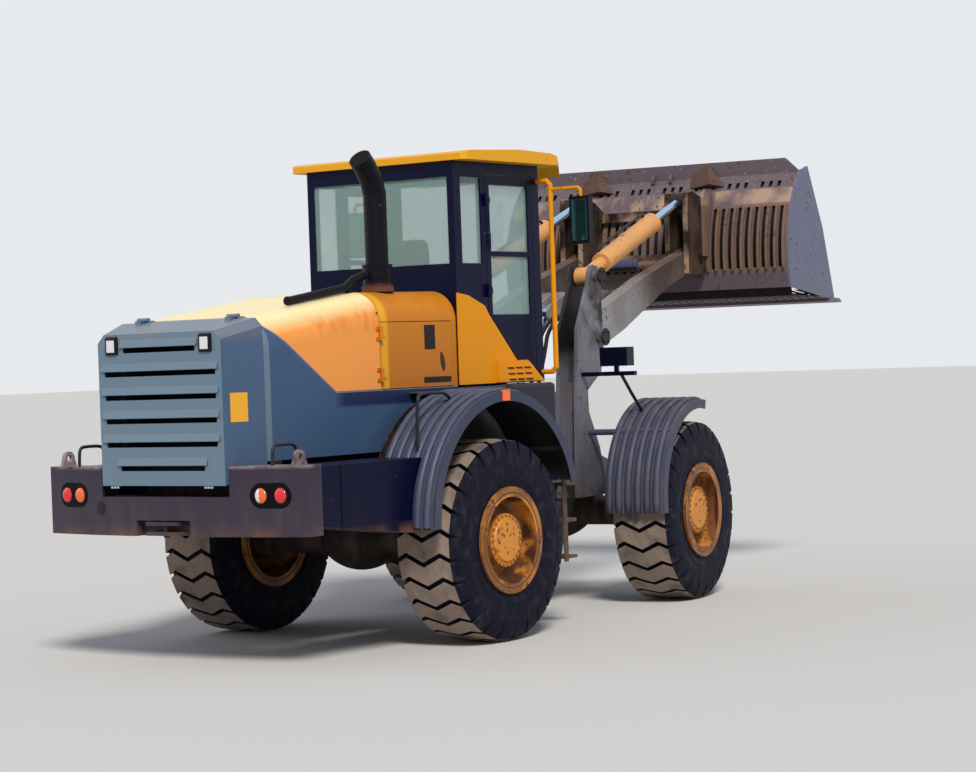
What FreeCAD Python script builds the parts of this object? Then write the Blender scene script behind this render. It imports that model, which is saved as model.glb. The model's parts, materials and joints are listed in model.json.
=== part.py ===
"""Articulated wheel loader with a raised bucket, as separate sub-parts.

X is to the right, Y forward and Z up. Shapes are drawn about the steering hinge, with the two
frames in line and the ground at z = 0. The front frame is then turned by the steer angle, and
the whole machine is moved so that the middle of its box stands on the origin.
"""
import FreeCAD, Part
import os
import re
import Sketcher
from FreeCAD import Placement, Rotation, Vector

doc = FreeCAD.newDocument("wheel_loader")
sheet = doc.addObject("Spreadsheet::Sheet", "sizes")

# Driving dimensions in millimetres and degrees: name, value.
SIZES = [
    ("steer_angle", 7.76),
    ("move_right", 340),
    ("move_forward", -680),
    ("gap", 5),
    ("fit", 0.3),
    # running gear
    ("wheel_base", 2960),
    ("track", 2252),
    ("tyre_radius", 745),
    ("tyre_width", 507),
    ("tyre_bulge", 14),
    ("rim_radius", 330),
    ("rim_flange", 392),
    ("rim_width", 544),
    ("rim_wall", 12),
    ("hub_radius", 196),
    ("hub_face", 217),
    ("cap_radius", 166),
    ("spindle_radius", 95),
    ("axle_tube", 125),
    ("axle_bowl", 245),
    ("axle_pad", 35),
    ("drive_shaft", 45),
    # rear frame
    ("frame_half", 390),
    ("frame_wall", 30),
    ("frame_low", 960),
    ("frame_top", 1330),
    ("frame_back", 3420),
    ("neck_half", 230),
    ("neck_back", 720),
    ("neck_front", 380),
    ("hinge_pin", 45),
    ("hinge_low", 600),
    ("hinge_high", 1230),
    ("lug_height", 70),
    ("ear_wall", 40),
    ("front_wall", 400),
    ("carrier", 70),
    # hood
    ("hood_back", 3360),
    ("hood_join", 2070),
    ("hood_front", 1125),
    ("hood_half", 700),
    ("hood_back_half", 680),
    ("hood_low", 1430),
    ("engine_door_low", 1880),
    ("hood_back_top", 2420),
    ("hood_top", 2605),
    ("hood_round", 230),
    ("panel", 8),
    ("grille_back", 3680),
    ("grille_half", 571),
    ("grille_low", 1280),
    ("grille_top", 2340),
    ("slot_half", 515),
    ("slot_height", 36),
    ("slot_pitch", 165),
    # counterweight and boxes
    ("weight_back", 3700),
    ("weight_half", 1200),
    ("weight_side", 3560),
    ("weight_low", 930),
    ("weight_top", 1410),
    ("weight_step", 1200),
    ("eye_x", 1076),
    ("eye_y", -3500),
    ("eye_level", 1465),
    ("eye_radius", 25),
    ("eye_wall", 30),
    ("lamp_inner", 837),
    ("lamp_outer", 988),
    ("lamp_level", 1210),
    ("lamp_radius", 55),
    ("lamp_seat", 3545),
    ("box_inner", 760),
    # fenders
    ("fender_radius", 930),
    ("fender_inner", 860),
    ("fender_outer", 1380),
    ("fender_wall", 10),
    ("fender_drop", 165),
    ("front_fender_radius", 800),
    ("front_fender_drop", 125),
    ("fender_flange", 75),
    ("fender_rib", 84),
    ("fender_rise", 12),
    # cab
    ("cab_half", 710),
    ("cab_back", 1110),
    ("cab_front", 40),
    ("cab_floor", 1880),
    ("cab_top", 3590),
    ("cab_wall", 45),
    ("sill_rear", 2810),
    ("head_rear", 3470),
    ("door_back", 700),
    ("door_front", 60),
    ("door_low", 1960),
    ("door_slant", 2425),
    ("door_notch", 235),
    ("door_top", 3500),
    ("door_wall", 35),
    ("hinge_out", 18),
    ("hinge_off", 8),
    ("knuckle", 16),
    ("knuckle_pin", 7),
    ("knuckle_half", 25),
    ("knuckle_end", 50),
    ("glass", 6),
    ("roof_half", 850),
    ("roof_height", 70),
    # exhaust, intake and ladders
    ("stack_radius", 86),
    ("intake_x", 430),
    ("step_inner", 930),
    ("step_outer", 1240),
    ("step_rise", 280),
    # front frame and linkage, in the straightened front frame
    ("lane", 530),
    ("arm_half", 62),
    ("arm_above", 172),
    ("arm_below", 125),
    ("tip_above", 125),
    ("tip_below", 95),
    ("torque_tube", 90),
    ("torque_reach", 1103),
    ("lift_ear", 25),
    ("boom_pin_y", 1160),
    ("boom_pin_z", 2220),
    ("tip_pin_y", 3400),
    ("tip_pin_z", 2920),
    ("tilt_base_y", 1120),
    ("tilt_base_z", 2730),
    ("tilt_eye_y", 3220),
    ("tilt_eye_z", 3440),
    ("lift_lane", 215),
    ("lift_base_y", 500),
    ("lift_base_z", 850),
    ("lift_reach", 750),
    ("pin", 45),
    ("plate", 30),
    ("tower_low", 900),
    ("coupler_plate", 48),
    ("tilt_barrel", 86),
    ("tilt_neck", 56),
    ("tilt_rod", 40),
    ("lift_barrel", 75),
    ("lift_rod", 38),
    ("steer_barrel", 46),
    ("steer_neck", 28),
    ("steer_rod", 25),
    ("steer_base_x", 455),
    ("steer_base_y", 770),
    ("steer_eye_x", 460),
    ("steer_eye_y", 490),
    ("steer_level", 905),
    ("steer_gap", 35),
    # bucket
    ("bucket_half", 1440),
    ("bucket_wall", 16),
    ("rib_pitch", 82),
    ("rib_gap", 36),
    ("bucket_curve_y", 1190),
    ("bucket_curve_z", -15),
    ("bucket_curve", 1015),
]
for number, (name, value) in enumerate(SIZES, 1):
    sheet.set(f"A{number}", name)
    sheet.set(f"B{number}", str(value))
    sheet.setAlias(f"B{number}", name)
doc.recompute()

NAMES = re.compile(r"\b(" + "|".join(name for name, value in SIZES) + r")\b")
SIDE, PLAN, CROSS = "YZ_Plane", "XY_Plane", "XZ_Plane"
PLANE_TURN = {
    SIDE: Rotation(Vector(0, 1, 0), Vector(0, 0, 1), Vector(1, 0, 0), "ZXY"),
    PLAN: Rotation(),
    CROSS: Rotation(Vector(1, 0, 0), 90),
}


def size(text):
    """The number that an expression in the sheet's names gives."""
    return float(sheet.evalExpression(str(text)))


def bind(thing, field, text):
    """Ties one property of an object to the sheet."""
    thing.setExpression(field, NAMES.sub(r"sizes.\1", str(text)))


def outline(body, plane, corners, at="0"):
    """A closed sketch in the body on one of its planes, moved along the plane's normal."""
    sketch = body.newObject("Sketcher::SketchObject", body.Name + "_outline")
    origin = [face for face in body.Origin.OriginFeatures if face.Role == plane][0]
    sketch.AttachmentSupport = [(origin, "")]
    sketch.MapMode = "FlatFace"
    if str(at) != "0":
        sketch.AttachmentOffset = Placement(Vector(0, 0, size(at)), Rotation())
        bind(sketch, "AttachmentOffset.Base.z", at)
    draw(sketch, corners)
    return sketch


def draw(sketch, corners, closed=True):
    """Draws and locks a sketch's sides. A corner is (u, v); ("arc", u, v) bends the side through it."""
    ends = [corner for corner in corners if corner[0] != "arc"]
    sides = []
    for corner in corners:
        if corner[0] == "arc":
            sides[-1] = corner[1:]
        else:
            sides.append(None)
    if not closed:
        sides.pop()
    spots = [Vector(size(u), size(v), 0) for u, v in ends]
    for number, via in enumerate(sides):
        first, last = spots[number], spots[(number + 1) % len(spots)]
        if via:
            middle = Vector(size(via[0]), size(via[1]), 0)
            sketch.addGeometry(Part.Arc(first, middle, last), False)
        else:
            sketch.addGeometry(Part.LineSegment(first, last), False)
    # An arc is kept counter-clockwise, so its start may be the side's far end.
    turns = []
    for number in range(len(sides)):
        forward = sketch.getPoint(number, 1).distanceToPoint(spots[number]) < 0.01
        turns.append((1, 2) if forward else (2, 1))
    for number in range(len(sides) if closed else len(sides) - 1):
        after = (number + 1) % len(sides)
        sketch.addConstraint(
            Sketcher.Constraint("Coincident", number, turns[number][1], after, turns[after][0]))
    for number in range(len(sides)):
        hold(sketch, number, turns[number][0], *ends[number])
    if not closed:
        hold(sketch, len(sides) - 1, turns[-1][1], *ends[-1])
    for number, via in enumerate(sides):
        if via:
            spot = sketch.addGeometry(Part.Point(Vector(size(via[0]), size(via[1]), 0)), True)
            hold(sketch, spot, 1, *via)
            sketch.addConstraint(Sketcher.Constraint("PointOnObject", spot, 1, number))


def free_sketch(name, plane, corners, at, closed=True):
    """A sketch outside any body, in a plane at one place along its normal."""
    sketch = doc.addObject("Sketcher::SketchObject", name)
    sketch.Placement = Placement(Vector(0, 0, 0), PLANE_TURN[plane])
    normal = {SIDE: "x", CROSS: "y", PLAN: "z"}[plane]
    bind(sketch, f"Placement.Base.{normal}", at)
    draw(sketch, corners, closed)
    return sketch


def hold(sketch, geometry, point, u, v):
    """Locks one point of a sketch to two expressions."""
    for kind, text in (("DistanceX", u), ("DistanceY", v)):
        number = sketch.addConstraint(
            Sketcher.Constraint(kind, -1, 1, geometry, point, size(text)))
        bind(sketch, f"Constraints[{number}]", text)


def start(name):
    body = doc.addObject("PartDesign::Body", name)
    body.Label = name
    return body


def span(plane, low, high):
    """Where a sketch lies so that its pad fills the stretch from low to high."""
    return f"-({high})" if plane == CROSS else low


def pad(body, plane, corners, low, high):
    feature = body.newObject("PartDesign::Pad", body.Name + "_pad")
    feature.Profile = outline(body, plane, corners, span(plane, low, high))
    bind(feature, "Length", f"({high}) - ({low})")
    return feature


def pocket(body, plane, corners, low, high):
    """Cuts an outline out of the body between low and high."""
    feature = body.newObject("PartDesign::Pocket", body.Name + "_pocket")
    feature.Profile = outline(body, plane, corners, span(plane, low, high))
    feature.Reversed = True
    bind(feature, "Length", f"({high}) - ({low})")
    return feature


def block(name, plane, corners, low, high):
    """A body that is one outline between two levels."""
    body = start(name)
    pad(body, plane, corners, low, high)
    return body


def turned(name, corners):
    """A body turned about the X axis; corners are (x, radius)."""
    body = start(name)
    feature = body.newObject("PartDesign::Revolution", name + "_turn")
    sketch = outline(body, CROSS, corners)
    feature.Profile = sketch
    feature.ReferenceAxis = (sketch, ["H_Axis"])
    feature.Angle = 360
    return body


AXES = {"x": Rotation(Vector(0, 1, 0), 90), "y": Rotation(Vector(1, 0, 0), -90), "z": Rotation()}


def bar(name, axis, centre, radius, low, high):
    """A round bar along an axis from low to high; centre holds its other two coordinates."""
    rod = doc.addObject("Part::Cylinder", name)
    rod.Placement = Placement(Vector(0, 0, 0), AXES[axis])
    bind(rod, "Radius", radius)
    bind(rod, "Height", f"({high}) - ({low})")
    spots = iter(centre)
    for letter in "xyz":
        bind(rod, f"Placement.Base.{letter}", low if letter == axis else next(spots))
    return rod


def box(name, low, high):
    solid = doc.addObject("Part::Box", name)
    for side, letter, start_at, end_at in zip(("Length", "Width", "Height"), "xyz", low, high):
        bind(solid, side, f"({end_at}) - ({start_at})")
        bind(solid, f"Placement.Base.{letter}", start_at)
    return solid


def bent_bar(name, plane, at, spots, radius, end="x"):
    """A round tube bent through spots of a plane; its first side runs along the end's axis."""
    spine = free_sketch(name + "_path", plane, spots, at, closed=False)
    ring = doc.addObject("Part::Circle", name + "_ring")
    bind(ring, "Radius", radius)
    ring.Placement = Placement(Vector(0, 0, 0), AXES[end])
    first = {SIDE: (at, *spots[0]), CROSS: (spots[0][0], at, spots[0][1]), PLAN: (*spots[0], at)}[plane]
    for letter, text in zip("xyz", first):
        bind(ring, f"Placement.Base.{letter}", text)
    sweep = doc.addObject("Part::Sweep", name)
    sweep.Sections = [ring]
    sweep.Spine = (spine, [f"Edge{number + 1}" for number in range(len(spots) - 1)])
    sweep.Solid = True
    sweep.Transition = "Right corner"
    return sweep


def fuse(name, parts):
    joined = doc.addObject("Part::MultiFuse", name)
    joined.Shapes = parts
    joined.Refine = True
    return joined


def cut(name, base, tools):
    result = doc.addObject("Part::Cut", name)
    result.Base = base
    result.Tool = tools[0] if len(tools) == 1 else fuse(name + "_tools", tools)
    return result


def group(name, parts):
    compound = doc.addObject("Part::Compound", name)
    compound.Links = parts
    return compound


def mirror(part):
    other = doc.addObject("Part::Mirroring", part.Name + "_mirror")
    other.Source = part
    other.Normal = (1, 0, 0)
    return other


def both(name, part):
    """A piece and its mirror image on the other side, as one group."""
    return group(name, [part, mirror(part)])


nodes = {}


def keep(name, shape, frame="rear", about=None):
    """Makes a sub-part of the finished machine; about is the spot its own drawing is moved to."""
    node = group(name, [shape])
    node.Label = name
    x, y, z = about or ("0", "0", "0")
    if frame == "rear":
        bind(node, "Placement.Base.x", f"move_right + {x}")
        bind(node, "Placement.Base.y", f"move_forward + {y}")
    else:
        node.Placement = Placement(Vector(0, 0, 0), Rotation(Vector(0, 0, 1), 1))
        bind(node, "Placement.Rotation.Angle", "steer_angle")
        turn = "move_right + ({x}) * cos(steer_angle) - ({y}) * sin(steer_angle)"
        bind(node, "Placement.Base.x", turn.format(x=x, y=y))
        turn = "move_forward + ({x}) * sin(steer_angle) + ({y}) * cos(steer_angle)"
        bind(node, "Placement.Base.y", turn.format(x=x, y=y))
    bind(node, "Placement.Base.z", z)
    nodes[name] = node


def plates(name, axis, corner_pairs, low, high):
    """Flat plates between two levels along an axis; each pair holds the other two coordinates."""
    at = "xyz".index(axis)
    made = []
    for number, (near, far) in enumerate(corner_pairs):
        near, far = list(near), list(far)
        near.insert(at, low)
        far.insert(at, high)
        made.append(box(f"{name}_{number}", near, far))
    return made


def hinge(name, axis, centre, places, fixed, moving):
    """Knuckles along a hinge line: the fixed pieces, and the moving barrels with their pins."""
    held, swung = [], []
    for number, place in enumerate(places):
        ends = ((f"{place} - knuckle_end", f"{place} - knuckle_half - fit"),
                (f"{place} + knuckle_half + fit", f"{place} + knuckle_end"))
        for end, (low, high) in enumerate(ends):
            label = f"{name}_{number}_{end}"
            knuckle = bar(f"{label}_knuckle", axis, centre, "knuckle", low, high)
            bore = bar(f"{label}_bore", axis, centre, "knuckle_pin + fit", low, high)
            leaves = plates(f"{label}_leaf", axis, fixed, low, high)
            held.append(cut(f"{label}_fixed", fuse(f"{label}_joined", [knuckle, *leaves]), [bore]))
        label = f"{name}_{number}"
        low, high = f"{place} - knuckle_half", f"{place} + knuckle_half"
        barrel = bar(f"{label}_barrel", axis, centre, "knuckle", low, high)
        pin = bar(f"{label}_pin", axis, centre, "knuckle_pin",
                  f"{place} - knuckle_end + 2", f"{place} + knuckle_end - 2")
        straps = plates(f"{label}_strap", axis, moving, low, high)
        swung.append(fuse(f"{label}_moving", [barrel, pin, *straps]))
    return held, swung


def side_hinge(name, face, edge, places):
    """An upright hinge on a right-hand panel whose outer face and hinged edge are given."""
    line_x, line_y = f"{face} + hinge_out", f"{edge} - hinge_off"
    return hinge(name, "z", (line_x, line_y), places,
                 [((f"{face} - 3", f"{edge} - 55"), (f"{face} + 8", line_y))],
                 [((f"{face} + 2", line_y), (f"{face} + 8", f"{edge} + 60")),
                  ((f"{face} - 3", f"{edge} + 10"), (f"{face} + 8", f"{edge} + 60"))])


# Wheels: tyre and rim are drawn about the wheel's centre, with the outer face towards +X.
def make_tyre(name):
    half = "(tyre_width / 2)"
    return turned(name, [
        ("-rim_width / 2 + 22", "rim_radius"),
        ("-rim_width / 2 + 21", "rim_flange + 4"),
        ("arc", f"-{half} - tyre_bulge", "(rim_flange + tyre_radius) / 2 - 20"),
        (f"-{half}", "tyre_radius - 60"),
        (f"-{half} + 25", "tyre_radius - 10"),
        ("arc", "0", "tyre_radius"),
        (f"{half} - 25", "tyre_radius - 10"),
        (half, "tyre_radius - 60"),
        ("arc", f"{half} + tyre_bulge", "(rim_flange + tyre_radius) / 2 - 20"),
        ("rim_width / 2 - 21", "rim_flange + 4"),
        ("rim_width / 2 - 22", "rim_radius"),
        ("rim_width / 2 - 60", "rim_radius"),
        ("rim_width / 2 - 50", "tyre_radius - 110"),
        ("-rim_width / 2 + 50", "tyre_radius - 110"),
        ("-rim_width / 2 + 60", "rim_radius"),
    ])


def make_rim(name):
    inner = "rim_radius - rim_wall"
    return turned(name, [
        ("-rim_width / 2", inner),
        ("-rim_width / 2", "rim_flange"),
        ("-rim_width / 2 + 20", "rim_flange"),
        ("-rim_width / 2 + 20", "rim_radius"),
        ("rim_width / 2 - 20", "rim_radius"),
        ("rim_width / 2 - 20", "rim_flange"),
        ("rim_width / 2", "rim_flange"),
        ("rim_width / 2", inner),
        ("150", inner),
        ("130", "rim_radius - 60"),
        ("150", "hub_radius"),
        ("hub_face", "hub_radius"),
        ("hub_face", "cap_radius"),
        ("hub_face + 14", "cap_radius - 12"),
        ("hub_face + 14", "0"),
        ("110", "0"),
        ("110", "spindle_radius + fit"),
        ("-60", "spindle_radius + fit"),
        ("-60", "cap_radius"),
        ("105", "cap_radius + 10"),
        ("105", "rim_radius - 60"),
        ("125", inner),
    ])


def make_wheels():
    for end, sign in (("rear", "-"), ("front", "")):
        for side, way in (("right", ""), ("left", "-")):
            about = (f"{way}track / 2", f"{sign}wheel_base / 2", "tyre_radius")
            for piece, make in (("tyre", make_tyre), ("rim", make_rim)):
                name = f"{end}_{side}_{piece}"
                shape = make(name + "_body")
                keep(name, shape if side == "right" else mirror(shape), end, about)


# Axles: a turned housing with its bowl in the middle and a nose towards the steering hinge.
def make_axle(name, end, way):
    half = "(track / 2)"
    housing = turned(name + "_housing", [
        ("-axle_bowl * 1.25", "axle_tube"),
        ("arc", "0", "axle_bowl"),
        ("axle_bowl * 1.25", "axle_tube"),
        (f"{half} - 330", "axle_tube"),
        (f"{half} - 300", "hub_radius - 20"),
        (f"{half} - 100", "hub_radius - 20"),
        (f"{half} - 100", "spindle_radius"),
        (f"{half} + 100", "spindle_radius"),
        (f"{half} + 100", "0"),
        (f"-{half} - 100", "0"),
        (f"-{half} - 100", "spindle_radius"),
        (f"-{half} + 100", "spindle_radius"),
        (f"-{half} + 100", "hub_radius - 20"),
        (f"-{half} + 300", "hub_radius - 20"),
        (f"-{half} + 330", "axle_tube"),
    ])
    nose = doc.addObject("Part::Cone", name + "_nose")
    nose.Placement = Placement(Vector(0, 0, 0), Rotation(Vector(1, 0, 0), -90 * way))
    bind(nose, "Radius1", "axle_bowl * 0.8")
    bind(nose, "Radius2", "axle_tube * 0.8")
    bind(nose, "Height", "axle_bowl * 1.9")
    reach = ("axle_bowl * 1.8", "wheel_base / 2 - 60")
    low, high = reach if way > 0 else (f"-({reach[1]})", f"-{reach[0]}")
    shaft = bar(name + "_shaft", "y", ("0", "0"), "drive_shaft", low, high)
    pads = [box(f"{name}_pad_{number}", (low, "-110", "axle_tube - 30"),
                (high, "110", "axle_tube + axle_pad - fit"))
            for number, (low, high) in enumerate((("330", "420"), ("-420", "-330")))]
    sign = "-" if end == "rear" else ""
    keep(name, fuse(name + "_all", [housing, nose, shaft, *pads]), end,
         ("0", f"{sign}wheel_base / 2", "tyre_radius"))


# Rear frame: two long side plates, cross plates, and the fork ears of the steering hinge.
def make_rear_chassis():
    rail = block("rear_rail", SIDE, [
        ("-frame_back", "frame_low + 60"),
        ("-wheel_base / 2 - 480", "frame_low - 60"),
        ("-wheel_base / 2 - 260", "tyre_radius + axle_tube + axle_pad"),
        ("-wheel_base / 2 + 260", "tyre_radius + axle_tube + axle_pad"),
        ("-wheel_base / 2 + 420", "hinge_low - 110"),
        ("-neck_back", "hinge_low - 110"),
        ("-neck_back", "frame_top"),
        ("-frame_back", "frame_top"),
    ], "frame_half - frame_wall", "frame_half")
    wall = box("rear_hinge_wall", ("-frame_half", "-neck_back - frame_wall", "hinge_low - 110"),
               ("frame_half", "-neck_back", "frame_top"))
    neck = box("rear_neck", ("neck_half - frame_wall", "-neck_back", "hinge_low - 110"),
               ("neck_half", "-neck_front", "frame_top"))
    tie = box("rear_neck_tie", ("-neck_half", "-neck_front - frame_wall", "hinge_low - 110"),
              ("neck_half", "-neck_front", "frame_top"))
    anchors = [box(f"steer_anchor_{number}", ("frame_half - 5", "-steer_base_y - 70", f"steer_level + {low}"),
                   ("steer_base_x + 50", "-neck_back", f"steer_level + {low} + 25"))
               for number, low in enumerate(("35", "-60"))]
    pin = bar("steer_base_pin", "z", ("steer_base_x", "-steer_base_y"), "pin * 0.6",
              "steer_level - 70", "steer_level + 70")
    anchor = fuse("steer_anchor", [*anchors, pin])
    back = box("rear_cross_wall", ("-frame_half", "-frame_back", "frame_low + 60"),
               ("frame_half", "-frame_back + 40", "frame_top"))
    middle = box("rear_cross_middle", ("-frame_half", "-wheel_base / 2 + 330", "frame_low"),
                 ("frame_half", "-wheel_base / 2 + 370", "frame_top"))
    ears = []
    for number, level in enumerate(("hinge_low", "hinge_high")):
        for place, offset in enumerate(("lug_height / 2 + gap", "-lug_height / 2 - gap - ear_wall")):
            ears.append(block(f"rear_ear_{number}_{place}", PLAN, [
                ("-neck_half", "-neck_back + 1"), ("neck_half", "-neck_back + 1"),
                ("neck_half", "-neck_front"),
                ("hinge_pin * 2.4", "40"), ("arc", "0", "hinge_pin * 2.6"), ("-hinge_pin * 2.4", "40"),
                ("-neck_half", "-neck_front"),
            ], f"{level} + {offset}", f"{level} + {offset} + ear_wall"))
        reach = "lug_height / 2 + gap + ear_wall + 12"
        ears.append(bar(f"hinge_pin_{number}", "z", ("0", "0"), "hinge_pin",
                        f"{level} - {reach}", f"{level} + {reach}"))
    carriers = [box(f"hood_carrier_{number}", ("frame_half - 20", y, "frame_top - 30"),
                    ("hood_half", f"{y} + carrier", "hood_low"))
                for number, y in enumerate(("-hood_front - carrier - 30", "-hood_back + 60"))]
    sides = [rail, neck, anchor, *carriers]
    shaft_hole = bar("rear_shaft_hole", "y", ("0", "tyre_radius"), "drive_shaft + fit",
                     "-neck_back - 50", "-300")
    walls = cut("rear_neck_walls", fuse("rear_neck_solid", [wall, tie]), [shaft_hole])
    keep("rear_chassis", fuse("rear_frame_all", [
        *sides, *[mirror(side) for side in sides], walls, back, middle, *ears]))


def make_engine():
    mass = box("engine_mass", ("-330", "-3050", "1120"), ("330", "-1750", "2150"))
    feet = [box(f"engine_foot_{number}", ("-frame_half + frame_wall + fit", y, "1180"),
                ("frame_half - frame_wall - fit", f"{y} + 120", "1230"))
            for number, y in enumerate(("-2900", "-2000"))]
    keep("engine_block", fuse("engine_all", [mass, *feet]))
    cooler = box("radiator_core", ("-500", "-hood_back + 15", "hood_low + fit"),
                 ("500", "-hood_back + 165", "hood_back_top - 170"))
    keep("radiator", cooler)


# Hood: one lofted skin, from which the two engine doors are cut.
def hood_section(name, y, half, top, inset):
    """A hood section at one place along the machine: sides, round shoulders and a flat top."""
    wide, high, bend = f"({half} - {inset})", f"({top} - {inset})", f"(hood_round - {inset})"
    low, off = f"hood_low - {inset}", "(1 - sqrt(0.5))"
    return free_sketch(name, CROSS, [
        (f"-{wide}", low), (f"-{wide}", f"{high} - {bend}"),
        ("arc", f"-{wide} + {off} * {bend}", f"{high} - {off} * {bend}"),
        (f"-{wide} + {bend}", high), (f"{wide} - {bend}", high),
        ("arc", f"{wide} - {off} * {bend}", f"{high} - {off} * {bend}"),
        (wide, f"{high} - {bend}"), (wide, low),
    ], y)


HOOD_SECTIONS = [
    # place along the machine, half width, top
    ("-hood_back", "hood_back_half", "hood_back_top"),
    ("-hood_join", "hood_half", "hood_top - 8"),
    ("-hood_front", "hood_half", "hood_top"),
]


def hood_loft(name, inset):
    loft = doc.addObject("Part::Loft", name)
    loft.Sections = [hood_section(f"{name}_{number}", *section, inset)
                     for number, section in enumerate(HOOD_SECTIONS)]
    loft.Solid = True
    loft.Ruled = True
    return loft


def make_hood():
    skin = cut("hood_skin", hood_loft("hood_outer", "0"), [hood_loft("hood_inner", "panel")])
    held, swung = side_hinge("engine_door_hinge", "hood_half", "-hood_join", ("1990", "2290"))
    opening = box("engine_opening", ("hood_half - 100", "-hood_join", "engine_door_low"),
                  ("hood_half + 50", "-hood_front - 60", "hood_top - hood_round"))
    leaf = doc.addObject("Part::Common", "engine_door_panel")
    leaf.Base = skin
    leaf.Tool = box("engine_door_box", ("hood_half - 100", "-hood_join + gap", "engine_door_low + gap"),
                    ("hood_half + 50", "-hood_front - 60 - gap", "hood_top - hood_round - gap"))
    door = fuse("engine_door_all", [leaf, *swung])
    keep("engine_door_right", door)
    keep("engine_door_left", mirror(door))
    rear_held = grille_hinge()[0]
    shell = cut("hood_open", skin, [opening, mirror(opening)])
    keep("hood", fuse("hood_all", [shell, *held, *[mirror(piece) for piece in held], *rear_held]))


# Grille door: a tapering shell with six slots in its rear face.
def grille_ring(name, y, half, low, top):
    """One six-sided section of the grille shell."""
    return free_sketch(name, CROSS, [
        (f"-({half})", low), (half, low), (half, f"{top} - 60"), (f"{half} - 60", top),
        (f"-({half} - 60)", top), (f"-({half})", f"{top} - 60"),
    ], y)


def grille_loft(name, inset, front):
    """The shell's form, or the room inside it when an inset is given."""
    loft = doc.addObject("Part::Loft", name)
    loft.Sections = [
        grille_ring(name + "_rear", f"-grille_back + {inset}", f"grille_half - {inset}",
                    f"grille_low + {inset}", f"grille_top - {inset}"),
        grille_ring(name + "_front", front, f"hood_back_half - {inset}",
                    f"hood_low - 20 + {inset}", f"hood_back_top - {inset}"),
    ]
    loft.Solid = True
    loft.Ruled = True
    return loft


GRILLE_PLACES = ("-420", "420")
grille_hinges = []


def grille_hinge():
    """The level hinge line over the grille: its fixed and its moving pieces, made once."""
    if not grille_hinges:
        line_y, line_z = "-hood_back - gap / 2", "hood_back_top + hinge_out"
        grille_hinges.extend(hinge(
            "grille_hinge", "x", (line_y, line_z), GRILLE_PLACES,
            [((line_y, "hood_back_top - 3"), ("-hood_back + 60", "hood_back_top + 14"))],
            [(("-hood_back - gap - 60", "hood_back_top - 16"), (line_y, "hood_back_top + 14"))]))
    return grille_hinges


def make_grille():
    slots = []
    for number in range(6):
        half = {0: "slot_half * 0.76", 5: "slot_half * 0.65"}.get(number, "slot_half")
        middle = f"grille_low + 120 + slot_pitch * {number}"
        slots.append(box(f"grille_slot_{number}",
                         (f"-{half}", "-grille_back - 20", f"{middle} - slot_height / 2"),
                         (half, "-grille_back + 60", f"{middle} + slot_height / 2")))
    shell = cut("grille_shell", grille_loft("grille_outer", "0", "-hood_back - gap"),
                [grille_loft("grille_inner", "panel * 2", "-hood_back - gap"), *slots])
    keep("grille_door", fuse("grille_all", [shell, *grille_hinge()[1]]))


# Counterweight: a thick curved bumper, cut down in the middle for the grille.
def make_counterweight():
    body = start("counterweight_body")
    pad(body, PLAN, [
        ("-weight_half", "-weight_side"), ("arc", "0", "-weight_back"), ("weight_half", "-weight_side"),
        ("weight_half", "-frame_back"), ("-weight_half", "-frame_back"),
    ], "weight_low", "weight_top")
    pocket(body, PLAN, [
        ("-grille_half - 15", "-weight_back - 10"), ("grille_half + 15", "-weight_back - 10"),
        ("grille_half + 15", "-grille_back"), ("hood_back_half + 15", "-hood_back"),
        ("-hood_back_half - 15", "-hood_back"), ("-grille_half - 15", "-grille_back"),
    ], "weight_step", "weight_top + 10")
    pocket(body, CROSS, [
        ("-250", "weight_low - 10"), ("250", "weight_low - 10"),
        ("250", "weight_low + 110"), ("-250", "weight_low + 110"),
    ], "-weight_back - 50", "-weight_back + 80")
    wells = []
    for side, way in (("right", ""), ("left", "-")):
        for number, x in enumerate(("lamp_inner", "lamp_outer")):
            wells.append(bar(f"lamp_well_{side}_{number}", "y", (f"{way}{x}", "lamp_level"),
                             "lamp_radius + 8", "-weight_back - 20", "-lamp_seat"))
    hitch = [box(f"hitch_plate_{number}", ("-150", "-weight_back - 10", f"weight_low + 5 + {number} * 70"),
                 ("150", "-weight_back + 90", f"weight_low + 30 + {number} * 70")) for number in (0, 1)]
    pin = bar("hitch_pin", "z", ("0", "-weight_back + 40"), "22", "weight_low - 10", "weight_low + 160")
    eye = block("lifting_eye", SIDE, [
        ("eye_y - 75", "weight_top - 15"), ("eye_y + 75", "weight_top - 15"),
        ("eye_y + 50", "eye_level"), ("arc", "eye_y", "eye_level + 50"), ("eye_y - 50", "eye_level"),
    ], "eye_x - eye_wall / 2", "eye_x + eye_wall / 2")
    eye_hole = bar("lifting_eye_hole", "x", ("eye_y", "eye_level"), "eye_radius",
                   "eye_x - 50", "eye_x + 50")
    eye_cut = cut("lifting_eye_bored", eye, [eye_hole])
    keep("counterweight", fuse("counterweight_all", [
        cut("counterweight_wells", body, wells), *hitch, pin, eye_cut, mirror(eye_cut)]))


def make_side_boxes():
    rear_wheel, reach = "-wheel_base / 2", "(fender_radius + fender_rise + fit)"
    level = "(tyre_radius + fender_drop)"
    shape = block("side_box", SIDE, [
        ("-frame_back + 1", "weight_low + 60"), (f"{rear_wheel} - {reach}", "weight_low - 60"),
        (f"{rear_wheel} - {reach}", level),
        ("arc", f"{rear_wheel} - {reach} * cos(15)", f"{level} + {reach} * sin(15)"),
        (f"{rear_wheel} - {reach} * cos(31)", f"{level} + {reach} * sin(31)"),
        ("-frame_back + 1", f"{level} + {reach} * sin(31)"),
    ], "box_inner", "weight_half")
    arm = box("side_box_arm", ("frame_half", "-3000", "frame_top - 110"),
              ("box_inner", "-2800", "frame_top - 60"))
    keep("side_boxes", both("side_boxes_pair", fuse("side_box_all", [shape, arm])))


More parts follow.
